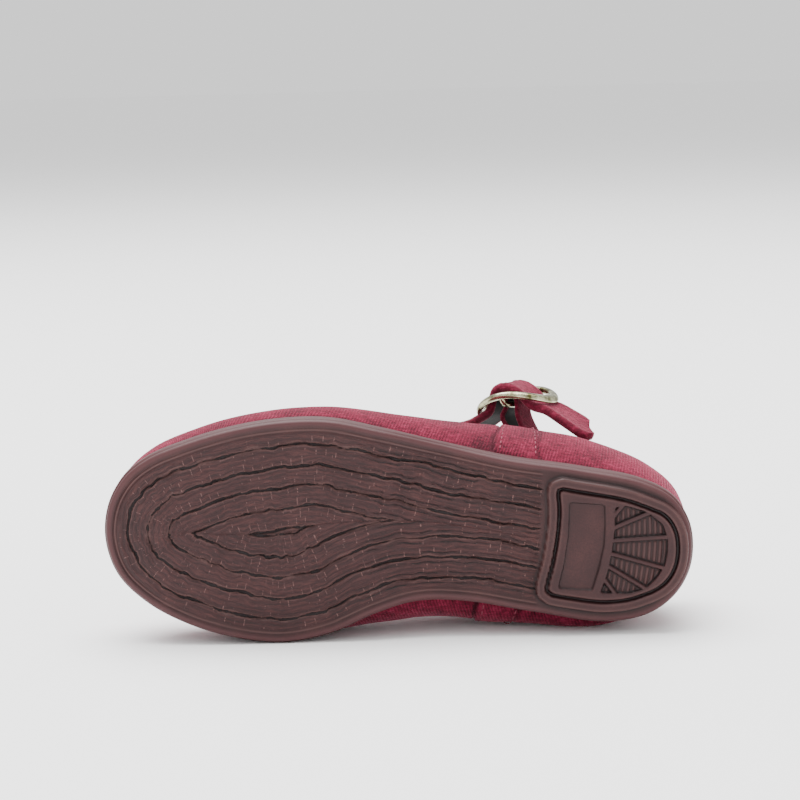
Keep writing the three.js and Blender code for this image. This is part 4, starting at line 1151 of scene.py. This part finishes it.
def makeSeamStitches():
    lines = []
    for seam in seams:
        around = np.linspace(0.06, 0.4, 260) if seam["side"] > 0 else np.linspace(0.94, 0.6, 260)
        for past, lean in ((1.5, 0.0), (seam["back"] - 1.4, upper["seamLean"])):
            line, normals = [], []
            for up in np.linspace(0.07, 0.93, 60):
                skin, _, _, _ = roundUpper(around, up)
                x = seam["low"] + (seam["high"] - seam["low"]) * up - past - lean * (1 - up)
                turn = np.interp(x, skin[:, 0], around)
                found, facing, _, _ = onUpper(turn, up)
                line.append(found + facing * (seam["lap"] + 0.08))
                normals.append(facing)
            line = np.array(line)
            lines.append((line, unit(np.gradient(line, axis=0)), np.array(normals)))
    makeStitches("seam_stitches", lines)


def makeCollarStitches():
    at, normal, across, _ = roundUpper(np.arange(700) / 700, 0.955)
    makeStitches("collar_stitches", [(at + normal * 0.1, across, normal)])


makeStrapStitches()
makeSeamStitches()
makeCollarStitches()
print("stage: stitches")

# ---- floor, light and camera

studio = {
    "floor": (0.97, 0.97, 0.97, 1), "reach": 60.0, "world": 1.15, "aim": (0, 0, 0.03),
    # power, size, place
    "lamps": {"top": (150.0, 2.4, (-0.3, 0.4, 2.2)), "key": (7.0, 1.2, (-0.6, -1.2, 1.2)),
              "fill": (4.0, 1.6, (1.2, -0.9, 0.7))},
}


def makeStudio():
    mesh = bpy.data.meshes.new("floor")
    r = studio["reach"]
    mesh.from_pydata([(-r, -r, 0), (r, -r, 0), (r, r, 0), (-r, r, 0)], [], [(0, 1, 2, 3)])
    material, tree, shader = newMaterial("studio_floor")
    setInputs(tree, shader, {"Base Color": studio["floor"], "Roughness": 0.9})
    mesh.materials.append(material)
    addObject("floor", mesh)
    for name, (power, size, place) in studio["lamps"].items():
        lamp = bpy.data.lights.new(name, "AREA")
        lamp.energy, lamp.size = power, size
        holder = addObject(name, lamp)
        holder.location = place
        holder.rotation_euler = (Vector(studio["aim"]) - Vector(place)).to_track_quat("-Z", "Y").to_euler()
    world = bpy.data.worlds.new("studio")
    world.use_nodes = True
    setInputs(world.node_tree, world.node_tree.nodes["Background"], {
        "Color": (1, 1, 1, 1), "Strength": studio["world"]})
    bpy.context.scene.world = world


# Camera: where it stood to the shoe in the photograph, which lay 2.5 degrees down at the heel
lens = {"distance": 800.0, "zoom": 3.44, "rise": 7.5, "tilt": 2.5, "heelPixel": (692.3, 549.0), "frame": 800}


def makeCamera():
    rise, tilt = (math.radians(lens[k]) for k in ("rise", "tilt"))
    eye = np.array([0, -lens["distance"] * math.cos(rise), lens["distance"] * math.sin(rise)])
    ahead = -eye / np.linalg.norm(eye)
    right = np.array([1.0, 0, 0])
    up = np.cross(right, ahead)
    focal = lens["zoom"] * lens["frame"]
    px, py = (v - lens["frame"] / 2 for v in lens["heelPixel"])
    ray = ahead * focal + right * px - up * py
    heel = eye + ray * (-eye[1] / ray[1])
    lay = np.array([[-1, 0, 0], [0, 0, 1], [0, 1, 0.0]])
    tip = np.array([[math.cos(tilt), 0, math.sin(tilt)], [0, 1, 0], [-math.sin(tilt), 0, math.cos(tilt)]])
    standing = tip @ lay  # standing shoe to the photograph's frame
    toRow = layDown[:, :3] @ standing.T
    place = toRow @ (eye - heel) + layDown[:, 3]
    camera = bpy.data.cameras.new("camera")
    camera.lens, camera.sensor_width = 36 * lens["zoom"], 36
    camera.clip_start, camera.clip_end = 0.05, 20
    holder = addObject("camera", camera)
    axes = np.stack([toRow @ right, toRow @ up, -(toRow @ ahead)], 1)
    holder.matrix_world = Matrix.Translation(Vector(place / 1000)) @ Matrix(axes.tolist()).to_4x4()
    bpy.context.scene.camera = holder


makeStudio()
makeCamera()
print("stage: studio and camera")
